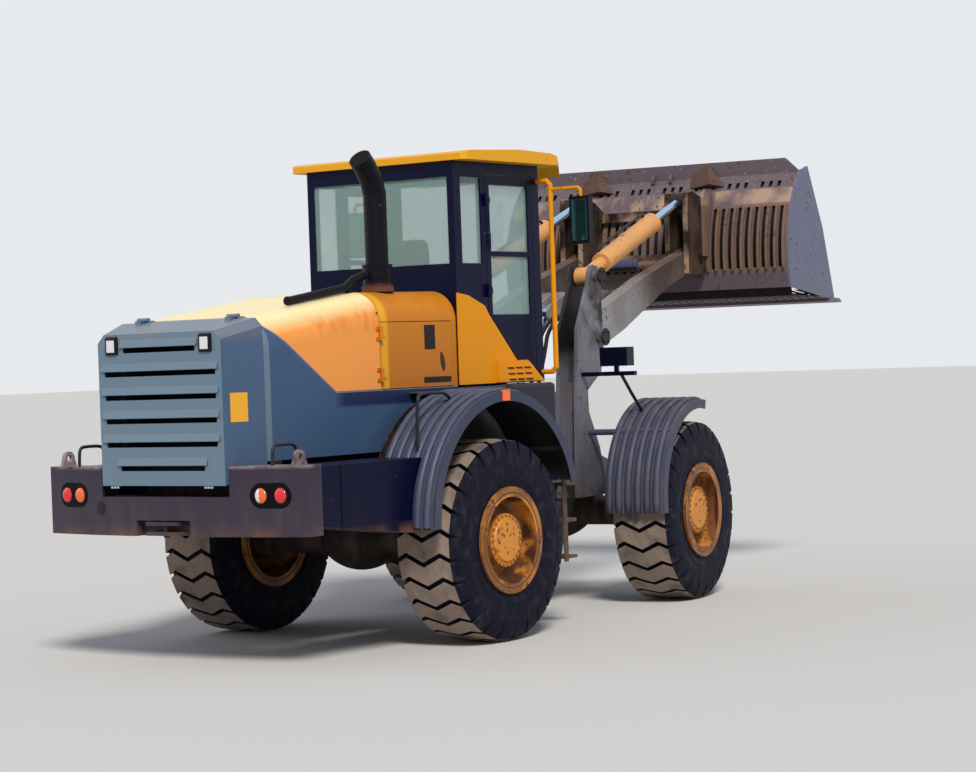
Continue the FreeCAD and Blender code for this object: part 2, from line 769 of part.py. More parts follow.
# Fender: an arched sheet over the wheel with a flange along its outer edge.
def fender_arch(name, centre, radius, inner, rear_drop, front, low, high):
    """An arch about the wheel from its rear foot to its front end, between two places across."""
    middle = (180 + front) / 2
    return block(name, SIDE, [
        (f"-{radius}", f"{centre} - {rear_drop}"), (f"-{radius}", centre),
        ("arc", f"{radius} * cos({middle})", f"{centre} + {radius} * sin({middle})"),
        (f"{radius} * cos({front})", f"{centre} + {radius} * sin({front})"),
        (f"{inner} * cos({front})", f"{centre} + {inner} * sin({front})"),
        ("arc", f"{inner} * cos({middle})", f"{centre} + {inner} * sin({middle})"),
        (f"-{inner}", centre), (f"-{inner}", f"{centre} - {rear_drop}"),
    ], low, high)


def make_fenders():
    for end, radius, drop, foot, front, stay, stay_start in (
            # frame, radius, centre above the wheel's, foot, front end's angle, bracket's angle and start
            ("rear", "fender_radius", "fender_drop", "20", 14, 30.5, "frame_half + fit"),
            ("front", "front_fender_radius", "front_fender_drop", "100", 80, 135,
             "lane + arm_half + gap + plate + fit")):
        centre = f"(tyre_radius + {drop})"
        arch = fender_arch(f"{end}_fender_sheet", centre, radius, f"({radius} - fender_wall)", foot, front,
                           "fender_inner", "fender_outer")
        lip = fender_arch(f"{end}_fender_lip", centre, radius, f"({radius} - fender_flange)", foot, front,
                          "fender_outer", "fender_outer + fender_wall")
        ribs = []
        for number in range(6):
            low = f"fender_inner + {number} * fender_rib + 20"
            ribs.append(fender_arch(f"{end}_fender_rib_{number}", centre, f"({radius} + fender_rise)",
                                    f"({radius} - 2)", foot, front, low, f"{low} + 35"))
        bracket = bar(f"{end}_fender_bracket", "x",
                      (f"({radius} - 10) * cos({stay})", f"{centre} + ({radius} - 10) * sin({stay})"),
                      "25", stay_start, "fender_outer - 20")
        sign = "-" if end == "rear" else ""
        side = fuse(f"{end}_fender_full", [arch, lip, bracket, *ribs])
        keep(f"{end}_fenders", both(f"{end}_fender_pair", side), end, ("0", f"{sign}wheel_base / 2", "0"))


cab_hinges = []


def cab_door_hinge():
    """The upright hinge line of the right-hand cab door, made once."""
    if not cab_hinges:
        cab_hinges.extend(side_hinge("cab_door_hinge", "cab_half", "-door_back", ("2600", "3300")))
    return cab_hinges


def door_outline(gap_in):
    """The door's five corners, all set in by a gap; the low rear corner slants over the shoulder."""
    return [
        (f"-door_back + {gap_in}", f"door_slant + {gap_in}"),
        (f"-door_notch + {gap_in}", f"door_low + {gap_in}"),
        (f"-door_front - {gap_in}", f"door_low + {gap_in}"),
        (f"-door_front - {gap_in}", f"door_top - {gap_in}"),
        (f"-door_back + {gap_in}", f"door_top - {gap_in}"),
    ]


# Cab: walls with window and door openings, floor, roof, glass and doors.
def make_cab():
    outer = box("cab_outer", ("-cab_half", "-cab_back", "cab_floor"), ("cab_half", "cab_front", "cab_top"))
    room = box("cab_room", ("-cab_half + cab_wall", "-cab_back + cab_wall", "cab_floor + 40"),
               ("cab_half - cab_wall", "cab_front - cab_wall", "cab_top - 30"))
    rear_window = box("cab_rear_window", ("-cab_half + 60", "-cab_back - 10", "sill_rear"),
                      ("cab_half - 60", "-cab_back + cab_wall + 10", "head_rear"))
    front_window = box("cab_front_window", ("-cab_half + 60", "cab_front - cab_wall - 10", "cab_floor + 500"),
                       ("cab_half - 60", "cab_front + 10", "cab_top - 90"))
    doorway = block("cab_doorway", SIDE, door_outline("0"), "-cab_half - 10", "cab_half + 10")
    side_window = box("cab_side_window", ("-cab_half - 10", "-cab_back + 90", "sill_rear"),
                      ("cab_half + 10", "-door_back - 60", "head_rear"))
    shell = cut("cab_shell", outer, [room, rear_window, front_window, doorway, side_window])
    held = cab_door_hinge()[0]
    keep("cab_frame", fuse("cab_all", [shell, *held, *[mirror(piece) for piece in held]]))
    mount = box("cab_mount", ("-frame_half", "-cab_back + 60", "frame_top"),
                ("frame_half", "-420", "cab_floor"))
    keep("cab_base", mount)
    panes = [
        box("rear_pane", ("-cab_half + 60", "-cab_back + 12", "sill_rear"),
            ("cab_half - 60", "-cab_back + 12 + glass", "head_rear")),
        box("front_pane", ("-cab_half + 60", "cab_front - 12 - glass", "cab_floor + 500"),
            ("cab_half - 60", "cab_front - 12", "cab_top - 90")),
    ]
    side_pane = box("side_pane", ("cab_half - 12 - glass", "-cab_back + 90", "sill_rear"),
                    ("cab_half - 12", "-door_back - 60", "head_rear"))
    keep("cab_glass", group("cab_panes", [*panes, side_pane, mirror(side_pane)]))
    flat = block("roof_plan", PLAN, [
        ("-roof_half + 40", "-cab_back - 40"), ("roof_half - 40", "-cab_back - 40"),
        ("roof_half", "-cab_back"),
        ("roof_half", "cab_front + 80"), ("roof_half - 160", "cab_front + 350"),
        ("-roof_half + 160", "cab_front + 350"), ("-roof_half", "cab_front + 80"),
        ("-roof_half", "-cab_back"),
    ], "cab_top - 90", "cab_top + roof_height + 60")
    edge = block("roof_side", SIDE, [
        ("-cab_back - 50", "cab_top"), ("-cab_back - 50", "cab_top + 45"),
        ("-cab_back + 40", "cab_top + roof_height"),
        ("-400", "cab_top + roof_height + 30"), ("cab_front", "cab_top + roof_height + 20"),
        ("cab_front + 270", "cab_top + 30"), ("cab_front + 352", "cab_top - 70"),
        ("cab_front + 325", "cab_top - 75"),
        ("cab_front + 240", "cab_top"),
    ], "-roof_half - 10", "roof_half + 10")
    roof = doc.addObject("Part::Common", "roof_form")
    roof.Base = flat
    roof.Tool = edge
    keep("roof", roof)


def make_cab_doors():
    panes_at = (("2415", "2885 - 20"), ("2885 + 20", "door_top - 80"))
    leaf = start("cab_door_leaf")
    pad(leaf, SIDE, door_outline("gap"), "cab_half - door_wall", "cab_half")
    for low, high in panes_at:
        pocket(leaf, SIDE, [
            ("-door_back + 60", low), ("-door_front - 60", low),
            ("-door_front - 60", high), ("-door_back + 60", high),
        ], "cab_half - door_wall - 10", "cab_half + 10")
    door = fuse("cab_door_all", [leaf, *cab_door_hinge()[1]])
    pane = group("door_panes", [
        box(f"door_pane_{number}", ("cab_half - 20", "-door_back + 60", low),
            ("cab_half - 20 + glass", "-door_front - 60", high))
        for number, (low, high) in enumerate(panes_at)])
    keep("cab_door_right", door)
    keep("cab_door_left", mirror(door))
    keep("door_glass_right", pane)
    keep("door_glass_left", mirror(pane))


def make_shoulders():
    """Plates on the cab's sides between hood and door, each with a raised air box."""
    outer = "cab_half + fit"
    plate = block("shoulder_plate", SIDE, [
        ("-hood_front + gap", "cab_floor + 5"), ("cab_front - 10", "cab_floor + 5"),
        ("-door_notch - 10", "door_low - 5"), ("-door_back - 5", "door_slant - 10"),
        ("-door_back - 60", "door_slant + 60"), ("-hood_front + 150", "door_slant + 140"),
        ("-hood_front + gap", "hood_top - 20"),
    ], outer, f"{outer} + panel")
    air_box = block("shoulder_box", SIDE, [
        ("-650", "cab_floor + 10"), ("-30", "cab_floor + 10"), ("-210", "cab_floor + 150"),
        ("-250", "cab_floor + 175"), ("-650", "cab_floor + 175"),
    ], outer, f"{outer} + 45")
    keep("shoulder_panels", both("shoulder_pair", fuse("shoulder_all", [plate, air_box])))


def make_cab_inside():
    cushion = box("seat_cushion", ("-260", "-760", "cab_floor + 420"), ("260", "-260", "cab_floor + 560"))
    back = box("seat_back", ("-250", "-900", "cab_floor + 500"), ("250", "-780", "cab_floor + 1150"))
    stand = box("seat_stand", ("-180", "-740", "cab_floor + 40"), ("180", "-320", "cab_floor + 420"))
    link = box("seat_link", ("-60", "-860", "cab_floor + 440"), ("60", "-700", "cab_floor + 520"))
    keep("seat", fuse("seat_all", [cushion, back, stand, link]))
    column = bar("steering_post", "z", ("0", "-200"), "38", "cab_floor + 40", "cab_floor + 820")
    wheel = doc.addObject("Part::Torus", "steering_wheel")
    wheel.Radius1 = 175
    wheel.Radius2 = 14
    for letter, text in zip("xyz", ("0", "-240", "cab_floor + 830")):
        bind(wheel, f"Placement.Base.{letter}", text)
    spoke = box("steering_spoke", ("-172", "-255", "cab_floor + 815"), ("172", "-190", "cab_floor + 835"))
    keep("steering_column", fuse("steering_all", [column, wheel, spoke]))


def make_rear_fittings():
    seat = "hood_top - 8 + 8 * (hood_join - {near}) / (hood_join - hood_front) + fit"
    stack_x, stack_y = "450", "-1750"
    base = seat.format(near="1630")
    flange = bar("stack_flange", "z", (stack_x, stack_y), "120", base, "hood_top + 40")
    can = bar("stack_can", "z", (stack_x, stack_y), "stack_radius + 22", base, "hood_top + 200")
    pipe = bent_bar("stack_pipe", SIDE, stack_x, [
        (stack_y, "hood_top + 20"), (stack_y, "3330"), (f"{stack_y} - 35", "3430"),
        (f"{stack_y} - 110", "3535"), (f"{stack_y} - 165", "3590"),
    ], "stack_radius", "z")
    keep("exhaust_stack", fuse("stack_all", [can, flange, pipe]))
    run = bent_bar("intake_run", SIDE, "intake_x", [
        ("-2790", "hood_top - 65"), ("-2760", "hood_top - 65"), ("-2120", "hood_top + 26"),
        ("-2010", "hood_top + 90"),
        (f"{stack_y} - 145", "hood_top + 120"),
    ], "32", "y")
    foot = box("intake_foot", ("intake_x - 30", "-hood_join - 50", "hood_top - 8 + fit"),
               ("intake_x + 30", "-hood_join", "hood_top + 10"))
    keep("intake_pipe", fuse("intake_all", [run, foot]))
    post = bent_bar("grab_post", CROSS, "cab_front - 20", [
        ("cab_half + fit", "1955"), ("cab_half + 95", "1955"), ("cab_half + 130", "1990"),
        ("cab_half + 130", "3430"), ("cab_half + 95", "3465"), ("cab_half + fit", "3465"),
    ], "20")
    loop = bent_bar("mirror_loop", CROSS, "cab_front - 20", [
        ("cab_half + 132", "3395"), ("1100", "3395"), ("1125", "3370"), ("1125", "3325"),
    ], "14")
    keep("handrails", both("handrail_pair", fuse("handrail_all", [post, loop])))
    head = box("mirror_head", ("1035", "cab_front - 50", "2950"), ("1215", "cab_front + 10", "3325 - fit"))
    keep("mirrors", both("mirror_pair", head))
    rungs = [box(f"step_{number}", ("step_inner + 12 + fit", "-540", f"520 + {number} * step_rise"),
                 ("step_outer - 12 - fit", "-360", f"545 + {number} * step_rise"))
             for number in range(3)]
    sides = [box(f"step_side_{number}", (low, "-548", "500"), (f"{low} + 12", "-500", "1400 - fit"))
             for number, low in enumerate(("step_inner", "step_outer - 12"))]
    beam = box("step_beam", ("frame_half + fit", "-548", "1400"), ("step_outer", "-500", "1440"))
    keep("ladders", both("ladder_pair", group("ladder_side", [*rungs, *sides, beam])))
    lamps = [bar(f"tail_lamp_{number}", "y", (x, "lamp_level"), "lamp_radius", f"-{face}", "-lamp_seat - fit")
             for number, (x, face) in enumerate((("lamp_inner", "3630"), ("lamp_outer", "3605")))]
    keep("rear_lamps", both("rear_lamp_pair", group("rear_lamp_side", lamps)))


# Front frame: hinge lugs, lower box, and the two-plate towers that carry boom and cylinders.
def make_front_chassis():
    tower = [
        ("660", "tower_low"), ("700", "1700"), ("760", "2290"), ("tilt_base_y - 110", "tilt_base_z - 40"),
        ("tilt_base_y - 60", "tilt_base_z + 90"), ("tilt_base_y + 70", "tilt_base_z + 90"),
        ("tilt_base_y + 130", "tilt_base_z - 60"), ("boom_pin_y + 90", "boom_pin_z + 120"),
        ("boom_pin_y + 110", "boom_pin_z - 60"), ("boom_pin_y + 40", "1930"),
        ("920", "1780"), ("930", "1600"), ("1120", "1300"), ("1250", "tower_low"),
    ]
    inner = "lane - arm_half - gap - plate"
    walls = [block(f"tower_{name}", SIDE, tower, low, f"{low} + plate")
             for name, low in (("outer", "lane + arm_half + gap"), ("inner", inner))]
    back = box("tower_back", (f"{inner} + 5", "745", "1000"), ("lane + arm_half + gap + 5", "775", "1850"))
    rail = block("front_rail", SIDE, [
        ("front_wall - 30", "hinge_low - 110"), ("900", "hinge_low - 110"),
        ("wheel_base / 2 - 300", "tyre_radius + axle_tube + axle_pad"),
        ("wheel_base / 2 + 300", "tyre_radius + axle_tube + axle_pad"), ("wheel_base / 2 + 420", "1000"),
        ("wheel_base / 2 + 420", "1150"), ("1250", "1330"), ("front_wall - 30", "1330"),
    ], "330", "360")
    shelf = box("tower_shelf", ("345", "640", "1000"), (f"{inner} + 15", "1200", "1040"))
    pins = [bar(name, "x", centre, "pin", f"{inner} - 10", "lane + arm_half + gap + plate + 25")
            for name, centre in (("boom_pin", ("boom_pin_y", "boom_pin_z")),
                                 ("tilt_base_pin", ("tilt_base_y", "tilt_base_z")))]
    ears = [box(f"steer_ear_{number}", ("345", "steer_eye_y - 48", f"steer_level + {low}"),
                ("steer_eye_x + 48", "steer_eye_y + 80", f"steer_level + {low} + 20"))
            for number, low in enumerate(("35", "-55"))]
    side = fuse("front_side", [*walls, back, rail, shelf, *pins, *ears])
    wall = box("front_cross_wall", ("-345", "front_wall - 30", "hinge_low - 110"),
               ("345", "front_wall", "1330"))
    nose = box("front_nose", ("-345", "wheel_base / 2 + 390", "1000"),
               ("345", "wheel_base / 2 + 419", "1149"))
    lugs = []
    for number, level in enumerate(("hinge_low", "hinge_high")):
        lug = block(f"front_lug_{number}", PLAN, [
            ("-300", "front_wall - 10"), ("-hinge_pin * 2.2", "-20"), ("arc", "0", "-hinge_pin * 2.5"),
            ("hinge_pin * 2.2", "-20"), ("300", "front_wall - 10"),
        ], f"{level} - lug_height / 2", f"{level} + lug_height / 2")
        hole = bar(f"lug_bore_{number}", "z", ("0", "0"), "hinge_pin + fit", f"{level} - 50", f"{level} + 50")
        lugs.append(cut(f"front_lug_bored_{number}", lug, [hole]))
    shaft_hole = bar("front_shaft_hole", "y", ("0", "tyre_radius"), "drive_shaft + fit", "300", "500")
    wall = cut("front_wall_bored", wall, [shaft_hole])
    lift = bar("lift_base_pin", "x", ("lift_base_y", "lift_base_z"), "pin", "-345", "345")
    keep("front_chassis", fuse("front_frame_all", [side, mirror(side), wall, nose, *lugs, lift]), "front")


def make_headlamps():
    face = "lane + arm_half + gap + plate"
    arm = box("lamp_arm", (f"{face} + fit", "800", "1895"), ("1110", "850", "1930"))
    head = box("lamp_head", ("820", "760", "1975"), ("1065", "900", "2130"))
    post = box("lamp_post", ("925", "805", "1920"), ("955", "845", "1985"))
    keep("headlamps", both("headlamp_pair", fuse("headlamp_all", [arm, head, post])), "front")


# Boom: two box arms from the tower pins to the coupler pins, tied by a cross tube.
def along_boom(reach, off="0"):
    """A spot at a reach along the line of the boom's pins and off to its upper side."""
    run, rise = "(tip_pin_y - boom_pin_y)", "(tip_pin_z - boom_pin_z)"
    unit = f"sqrt({run} ^ 2 + {rise} ^ 2)"
    return (f"boom_pin_y + (({reach}) * {run} - ({off}) * {rise}) / {unit}",
            f"boom_pin_z + (({reach}) * {rise} + ({off}) * {run}) / {unit}")


def make_boom():
    length = "sqrt((tip_pin_y - boom_pin_y) ^ 2 + (tip_pin_z - boom_pin_z) ^ 2)"
    arm = start("boom_arm")
    pad(arm, SIDE, [
        along_boom("20", "arm_above + 10"), ("arc", *along_boom("-110", "20")),
        along_boom("10", "-arm_below + 5"),
        along_boom("600", "-arm_below"), along_boom(f"{length} * 0.72", "-tip_below + 35"),
        along_boom(f"{length} + 10", "-tip_below"), ("arc", *along_boom(f"{length} + 105")),
        along_boom(f"{length} + 10", "tip_above - 20"),
        along_boom(f"{length} * 0.86", "tip_above"), along_boom(f"{length} * 0.5", "arm_above"),
        along_boom("300", "arm_above"),
    ], "lane - arm_half", "lane + arm_half")
    bores = [bar(name, "x", centre, "pin + fit", "0", "lane + 200")
             for name, centre in (("boom_bore", ("boom_pin_y", "boom_pin_z")),
                                  ("boom_tip_bore", ("tip_pin_y", "tip_pin_z")))]
    arm_cut = cut("boom_arm_bored", arm, bores)
    tube = bar("torque_tube", "x", along_boom("torque_reach"), "torque_tube", "-lane", "lane")
    ears = [block(f"lift_ear_{number}", SIDE, [
        along_boom("torque_reach", "80"), along_boom("lift_reach - 20", "85"),
        ("arc", *along_boom("lift_reach - 90")), along_boom("lift_reach - 20", "-85"),
        along_boom("torque_reach", "-80"),
    ], low, f"{low} + lift_ear") for number, low in enumerate((
        "lift_lane + lift_rod * 1.5 + fit", "lift_lane - lift_rod * 1.5 - fit - lift_ear"))]
    left_ears = [mirror(ear) for ear in ears]
    keep("boom", fuse("boom_all", [arm_cut, mirror(arm_cut), tube, *ears, *left_ears]), "front")


# Coupler: two pairs of side plates on the boom tips, tied by tubes, that hold the bucket.
def make_coupler():
    side = [
        ("tip_pin_y - 270", "tip_pin_z - 140"), ("tip_pin_y + 90", "tip_pin_z - 140"),
        ("tip_pin_y + 170", "tip_pin_z - 60"), ("tip_pin_y + 170", "tip_pin_z + 370"),
        ("tip_pin_y + 235", "tip_pin_z + 390"), ("tip_pin_y + 235", "tip_pin_z + 480"),
        ("tip_pin_y + 60", "tip_pin_z + 560"), ("tilt_eye_y + 60", "tilt_eye_z + 90"),
        ("tilt_eye_y - 60", "tilt_eye_z + 70"), ("tilt_eye_y - 80", "tilt_eye_z - 60"),
    ]
    walls = [block(f"coupler_wall_{number}", SIDE, side, low, f"{low} + coupler_plate")
             for number, low in enumerate(("lane + arm_half + gap", "lane - arm_half - gap - coupler_plate"))]
    hole = bar("coupler_bore", "x", ("tip_pin_y", "tip_pin_z"), "pin + fit", "0", "lane + 300")
    pin = bar("tip_pin", "x", ("tip_pin_y", "tip_pin_z"), "pin", "lane - arm_half - gap - coupler_plate - 10",
              "lane + arm_half + gap + coupler_plate + 10")
    keep("tip_pins", both("tip_pin_pair", pin), "front")
    reach = "lane + arm_half + gap + 20"
    ties = [box(f"coupler_tie_{number}", (f"-({reach})", f"tip_pin_y + {ahead}", f"tip_pin_z + {low}"),
                (reach, f"tip_pin_y + {ahead} + 30", f"tip_pin_z + {high}"))
            for number, (ahead, low, high) in enumerate((("130", "-50", "60"), ("197", "385", "470")))]
    bored = cut("coupler_side", fuse("coupler_walls", walls), [hole])
    keep("coupler", fuse("coupler_all", [bored, mirror(bored), *ties]), "front")


# Bucket: side plates, a curved back with a spill plate, and a flat floor with its edge.
BUCKET_STROKES = 10


def bucket_back(wall, angle):
    """A spot on the curved back, at a depth inside its outer face."""
    reach = f"(bucket_curve - {wall})"
    return (f"tip_pin_y + bucket_curve_y + {reach} * cos({angle})",
            f"tip_pin_z + bucket_curve_z + {reach} * sin({angle})")


def bucket_bends(wall, first, last):
    """Corners of the back plate, which a press bends in equal strokes from angle to angle."""
    return [bucket_back(wall, first + (last - first) * stroke / BUCKET_STROKES)
            for stroke in range(BUCKET_STROKES + 1)]


def bucket_spot(forward, up):
    return f"tip_pin_y + {forward}", f"tip_pin_z + {up}"


def make_bucket():
    low, high = 196, 128
    outer = block("bucket_outer", SIDE, [
        *bucket_bends("0", low, high),
        bucket_spot("750", "830"), bucket_spot("1110", "260"), bucket_spot("1360", "-370"),
        bucket_spot("1340", "-410"),
    ], "-bucket_half", "bucket_half")
    hollow = block("bucket_hollow", SIDE, [
        *bucket_bends("bucket_wall", low + 0.6, high - 1), bucket_spot("700", "1100"),
        bucket_spot("1700", "1100"), bucket_spot("1700", "-410 + bucket_wall"),
        bucket_spot("1340", "-410 + bucket_wall"),
    ], "-bucket_half + bucket_wall", "bucket_half - bucket_wall")
    edge = block("cutting_edge", SIDE, [
        bucket_spot("1230", "-423"), bucket_spot("1530", "-436"), bucket_spot("1480", "-400"),
        bucket_spot("1230", "-385"),
    ], "-bucket_half - 15", "bucket_half + 15")
    spill = block("spill_plate", CROSS, [
        ("-bucket_half + 20", "tip_pin_z + 700"), ("bucket_half - 20", "tip_pin_z + 700"),
        ("bucket_half - 20", "tip_pin_z + 790"), ("bucket_half - 140", "tip_pin_z + 905"),
        ("-bucket_half + 140", "tip_pin_z + 905"), ("-bucket_half + 20", "tip_pin_z + 790"),
    ], "tip_pin_y + 545", "tip_pin_y + 545 + bucket_wall")
    slots = []
    for number in range(34):
        x = f"({number} - 16.5) * rib_pitch"
        left, right = f"{x} - rib_gap / 2", f"{x} + rib_gap / 2"
        rows = [(bucket_spot("140", "-105"), bucket_spot("330", "455")),
                (bucket_spot("440", "-440"), bucket_spot("800", "-250")),
                (bucket_spot("850", "-440"), bucket_spot("1200", "-250"))]
        if number % 4 != 1:
            rows.append((bucket_spot("380", "640"), bucket_spot("540", "695")))
        for row, (near, far) in enumerate(rows):
            slots.append(box(f"bucket_slot_{number}_{row}", (left, *near), (right, *far)))
    inside = "bucket_wall / 2"
    ear = block("bucket_ear", SIDE, [
        bucket_back(inside, 178), ("arc", *bucket_back(inside, 158)), bucket_back(inside, 139.4),
        bucket_spot("120", "640"), bucket_spot("60", "560"), bucket_spot("60", "20"),
    ], "lane + arm_half + gap + coupler_plate + fit", "lane + arm_half + gap + coupler_plate + fit + 25")
    slotted = cut("bucket_slotted", cut("bucket_shell", outer, [hollow]), slots)
    keep("bucket", fuse("bucket_all", [slotted, edge, spill, ear, mirror(ear)]), "front")


# Hydraulic cylinders are drawn along +Y from the base eye and turned into place.
def cylinder(name, barrel, neck, bottom, rod, length, inner, reach, half):
    """Barrel with its base eye at the origin, and rod from its inner end to the eye at the reach.

    The neck is the radius and the length of the slimmer end by the base eye; bottom is where
    the bore ends, and half is half the width of the rod's eye.
    """
    neck_radius, neck_length = neck
    eye = bar(f"{name}_eye", "x", ("0", "0"), "pin + 33", f"-{neck_radius}", neck_radius)
    stem = bar(f"{name}_stem", "y", ("0", "0"), f"{neck_radius} - 2", "0", f"{neck_length} + 5")
    tube = bar(f"{name}_tube", "y", ("0", "0"), barrel, neck_length, length)
    bore = bar(f"{name}_bore", "y", ("0", "0"), f"{rod} + fit", bottom, f"{length} + 10")
    hole = bar(f"{name}_hole", "x", ("0", "0"), "pin + fit", "-200", "200")
    shell = cut(f"{name}_barrel_shape", fuse(f"{name}_barrel_solid", [eye, stem, tube]), [bore, hole])
    shaft = bar(f"{name}_shaft", "y", ("0", "0"), rod, inner, reach)
    head = bar(f"{name}_head", "x", (reach, "0"), f"{rod} * 1.9", f"-({half})", half)
    return shell, fuse(f"{name}_rod_shape", [shaft, head])


def aimed(name, shape, frame, x, base, tip):
    """Turns a drawing about X so that its Y runs from base to tip, both (y, z)."""
    turn = group(name + "_aimed", [shape])
    turn.Placement = Placement(Vector(0, 0, 0), Rotation(Vector(1, 0, 0), 1))
    bind(turn, "Placement.Rotation.Angle", f"atan2({tip[1]} - {base[1]}; {tip[0]} - {base[0]})")
    for letter, text in zip("xyz", (x, *base)):
        bind(turn, f"Placement.Base.{letter}", text)
    keep(name, both(name + "_pair", turn), frame)


def make_cylinders():
    tilt_reach = "sqrt((tilt_eye_y - tilt_base_y) ^ 2 + (tilt_eye_z - tilt_base_z) ^ 2)"
    barrel, rod = cylinder("tilt", "tilt_barrel", ("tilt_neck", "375"), "200", "tilt_rod",
                           "1540", "660", tilt_reach, "arm_half + gap - fit")
    ends = ("tilt_base_y", "tilt_base_z"), ("tilt_eye_y", "tilt_eye_z")
    aimed("tilt_barrels", barrel, "front", "lane", *ends)
    aimed("tilt_rods", rod, "front", "lane", *ends)
    point = along_boom("lift_reach")
    lift_reach = f"sqrt(({point[0]} - lift_base_y) ^ 2 + ({point[1]} - lift_base_z) ^ 2)"
    barrel, rod = cylinder("lift", "lift_barrel", ("tilt_neck", "100"), "115", "lift_rod",
                           "1150", "825", lift_reach, "lift_rod * 1.5")
    ends = ("lift_base_y", "lift_base_z"), (f"({point[0]})", f"({point[1]})")
    aimed("lift_barrels", barrel, "front", "lift_lane", *ends)
    aimed("lift_rods", rod, "front", "lift_lane", *ends)


def make_steering_cylinders():
    for side, way in (("right", ""), ("left", "-")):
        eye_x = f"(({way}steer_eye_x) * cos(steer_angle) - steer_eye_y * sin(steer_angle))"
        eye_y = f"(({way}steer_eye_x) * sin(steer_angle) + steer_eye_y * cos(steer_angle))"
        base_x, base_y = f"({way}steer_base_x)", "(-steer_base_y)"
        reach = f"sqrt(({eye_x} - {base_x}) ^ 2 + ({eye_y} - {base_y}) ^ 2)"
        name = f"steer_{side}"
        barrel, rod = steering_cylinder(name, reach)
        for piece, shape in (("barrel", barrel), ("rod", rod)):
            turn = group(f"{name}_{piece}_aimed", [shape])
            turn.Placement = Placement(Vector(0, 0, 0), Rotation(Vector(0, 0, 1), 1))
            bind(turn, "Placement.Rotation.Angle", f"-atan2({eye_x} - {base_x}; {eye_y} - {base_y})")
            for letter, text in zip("xyz", (base_x, base_y, "steer_level")):
                bind(turn, f"Placement.Base.{letter}", text)
            keep(f"steer_{piece}_{side}", turn)


def steering_cylinder(name, reach):
    """Barrel and rod between upright pins; the barrel's slim neck lies between its two ears."""
    neck, half = "steer_neck", "steer_gap - fit"
    eye = bar(f"{name}_eye", "z", ("0", "0"), "pin * 0.6 + 18", f"-({half})", half)
    stem = bar(f"{name}_stem", "y", ("0", "0"), neck, "0", "105")
    tube = bar(f"{name}_tube", "y", ("0", "0"), "steer_barrel", "100", "815")
    hole = bar(f"{name}_hole", "z", ("0", "0"), "pin * 0.6 + fit", "-200", "200")
    bore = bar(f"{name}_bore", "y", ("0", "0"), "steer_rod + fit", "140", "900")
    shell = cut(f"{name}_barrel_shape", fuse(f"{name}_barrel_solid", [eye, stem, tube]), [bore, hole])
    shaft = bar(f"{name}_shaft", "y", ("0", "0"), "steer_rod", f"{reach} - 765", reach)
    head = bar(f"{name}_head", "z", ("0", reach), "steer_rod * 1.8", f"-({half})", half)
    return shell, fuse(f"{name}_rod_shape", [shaft, head])


for make in (make_wheels, make_rear_chassis, make_engine, make_hood, make_grille, make_counterweight,
             make_side_boxes, make_fenders, make_cab, make_cab_doors, make_shoulders,
             make_cab_inside,
             make_rear_fittings, make_front_chassis, make_headlamps, make_boom, make_coupler,
             make_bucket, make_cylinders, make_steering_cylinders):
    make()
make_axle("rear_axle", "rear", 1)
make_axle("front_axle", "front", -1)
doc.recompute()

failed = [f"{thing.Name}: {thing.getStatusString()}" for thing in doc.Objects
          if "Invalid" in thing.State or "Error" in thing.State]
if failed:
    raise RuntimeError("; ".join(failed))
os.makedirs("parts", exist_ok=True)
for name, node in nodes.items():
    if node.Shape.isNull() or not node.Shape.isValid():
        raise RuntimeError(f"{name} has no valid shape")
for name, node in nodes.items():
    node.Shape.exportStep(f"parts/{name}.step")
print(f"{len(nodes)} sub-parts written")
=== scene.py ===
import json
import math

import bmesh
import bpy
from mathutils import Matrix, Vector


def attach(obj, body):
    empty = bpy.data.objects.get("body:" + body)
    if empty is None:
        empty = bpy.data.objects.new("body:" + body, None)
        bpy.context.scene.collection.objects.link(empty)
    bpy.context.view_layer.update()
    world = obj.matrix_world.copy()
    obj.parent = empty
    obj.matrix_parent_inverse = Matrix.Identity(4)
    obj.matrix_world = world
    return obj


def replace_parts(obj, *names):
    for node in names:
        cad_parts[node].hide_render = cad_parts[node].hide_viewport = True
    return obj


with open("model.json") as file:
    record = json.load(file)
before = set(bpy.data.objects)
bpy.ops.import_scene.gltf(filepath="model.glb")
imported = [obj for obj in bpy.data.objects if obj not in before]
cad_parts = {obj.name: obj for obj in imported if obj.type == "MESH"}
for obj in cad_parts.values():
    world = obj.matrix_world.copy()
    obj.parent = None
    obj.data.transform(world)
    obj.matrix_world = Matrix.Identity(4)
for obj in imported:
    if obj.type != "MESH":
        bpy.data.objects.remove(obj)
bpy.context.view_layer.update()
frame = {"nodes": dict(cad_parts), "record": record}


# Rear frame, axles and engine: welded plate and cast housings under the machine, painted dark
# and covered with dust from the yard. Everything else hangs on them, so places are counted
# from the steering hinge: rear() along the rear frame and front() along the front one.
joints = {joint["name"]: joint for joint in frame["record"]["behaviour"]["joints"]}
rest = Matrix.Translation(Vector(joints["steering"]["pos_m"]) * Vector((1, 1, 0)))
across = Vector(joints["boom_lift"]["axis"])
turned = rest @ Matrix.Rotation(math.atan2(across.y, across.x), 4, "Z")


def rear(x, y, z):
    return rest @ Vector((x, y, z))


def front(x, y, z):
    return turned @ Vector((x, y, z))


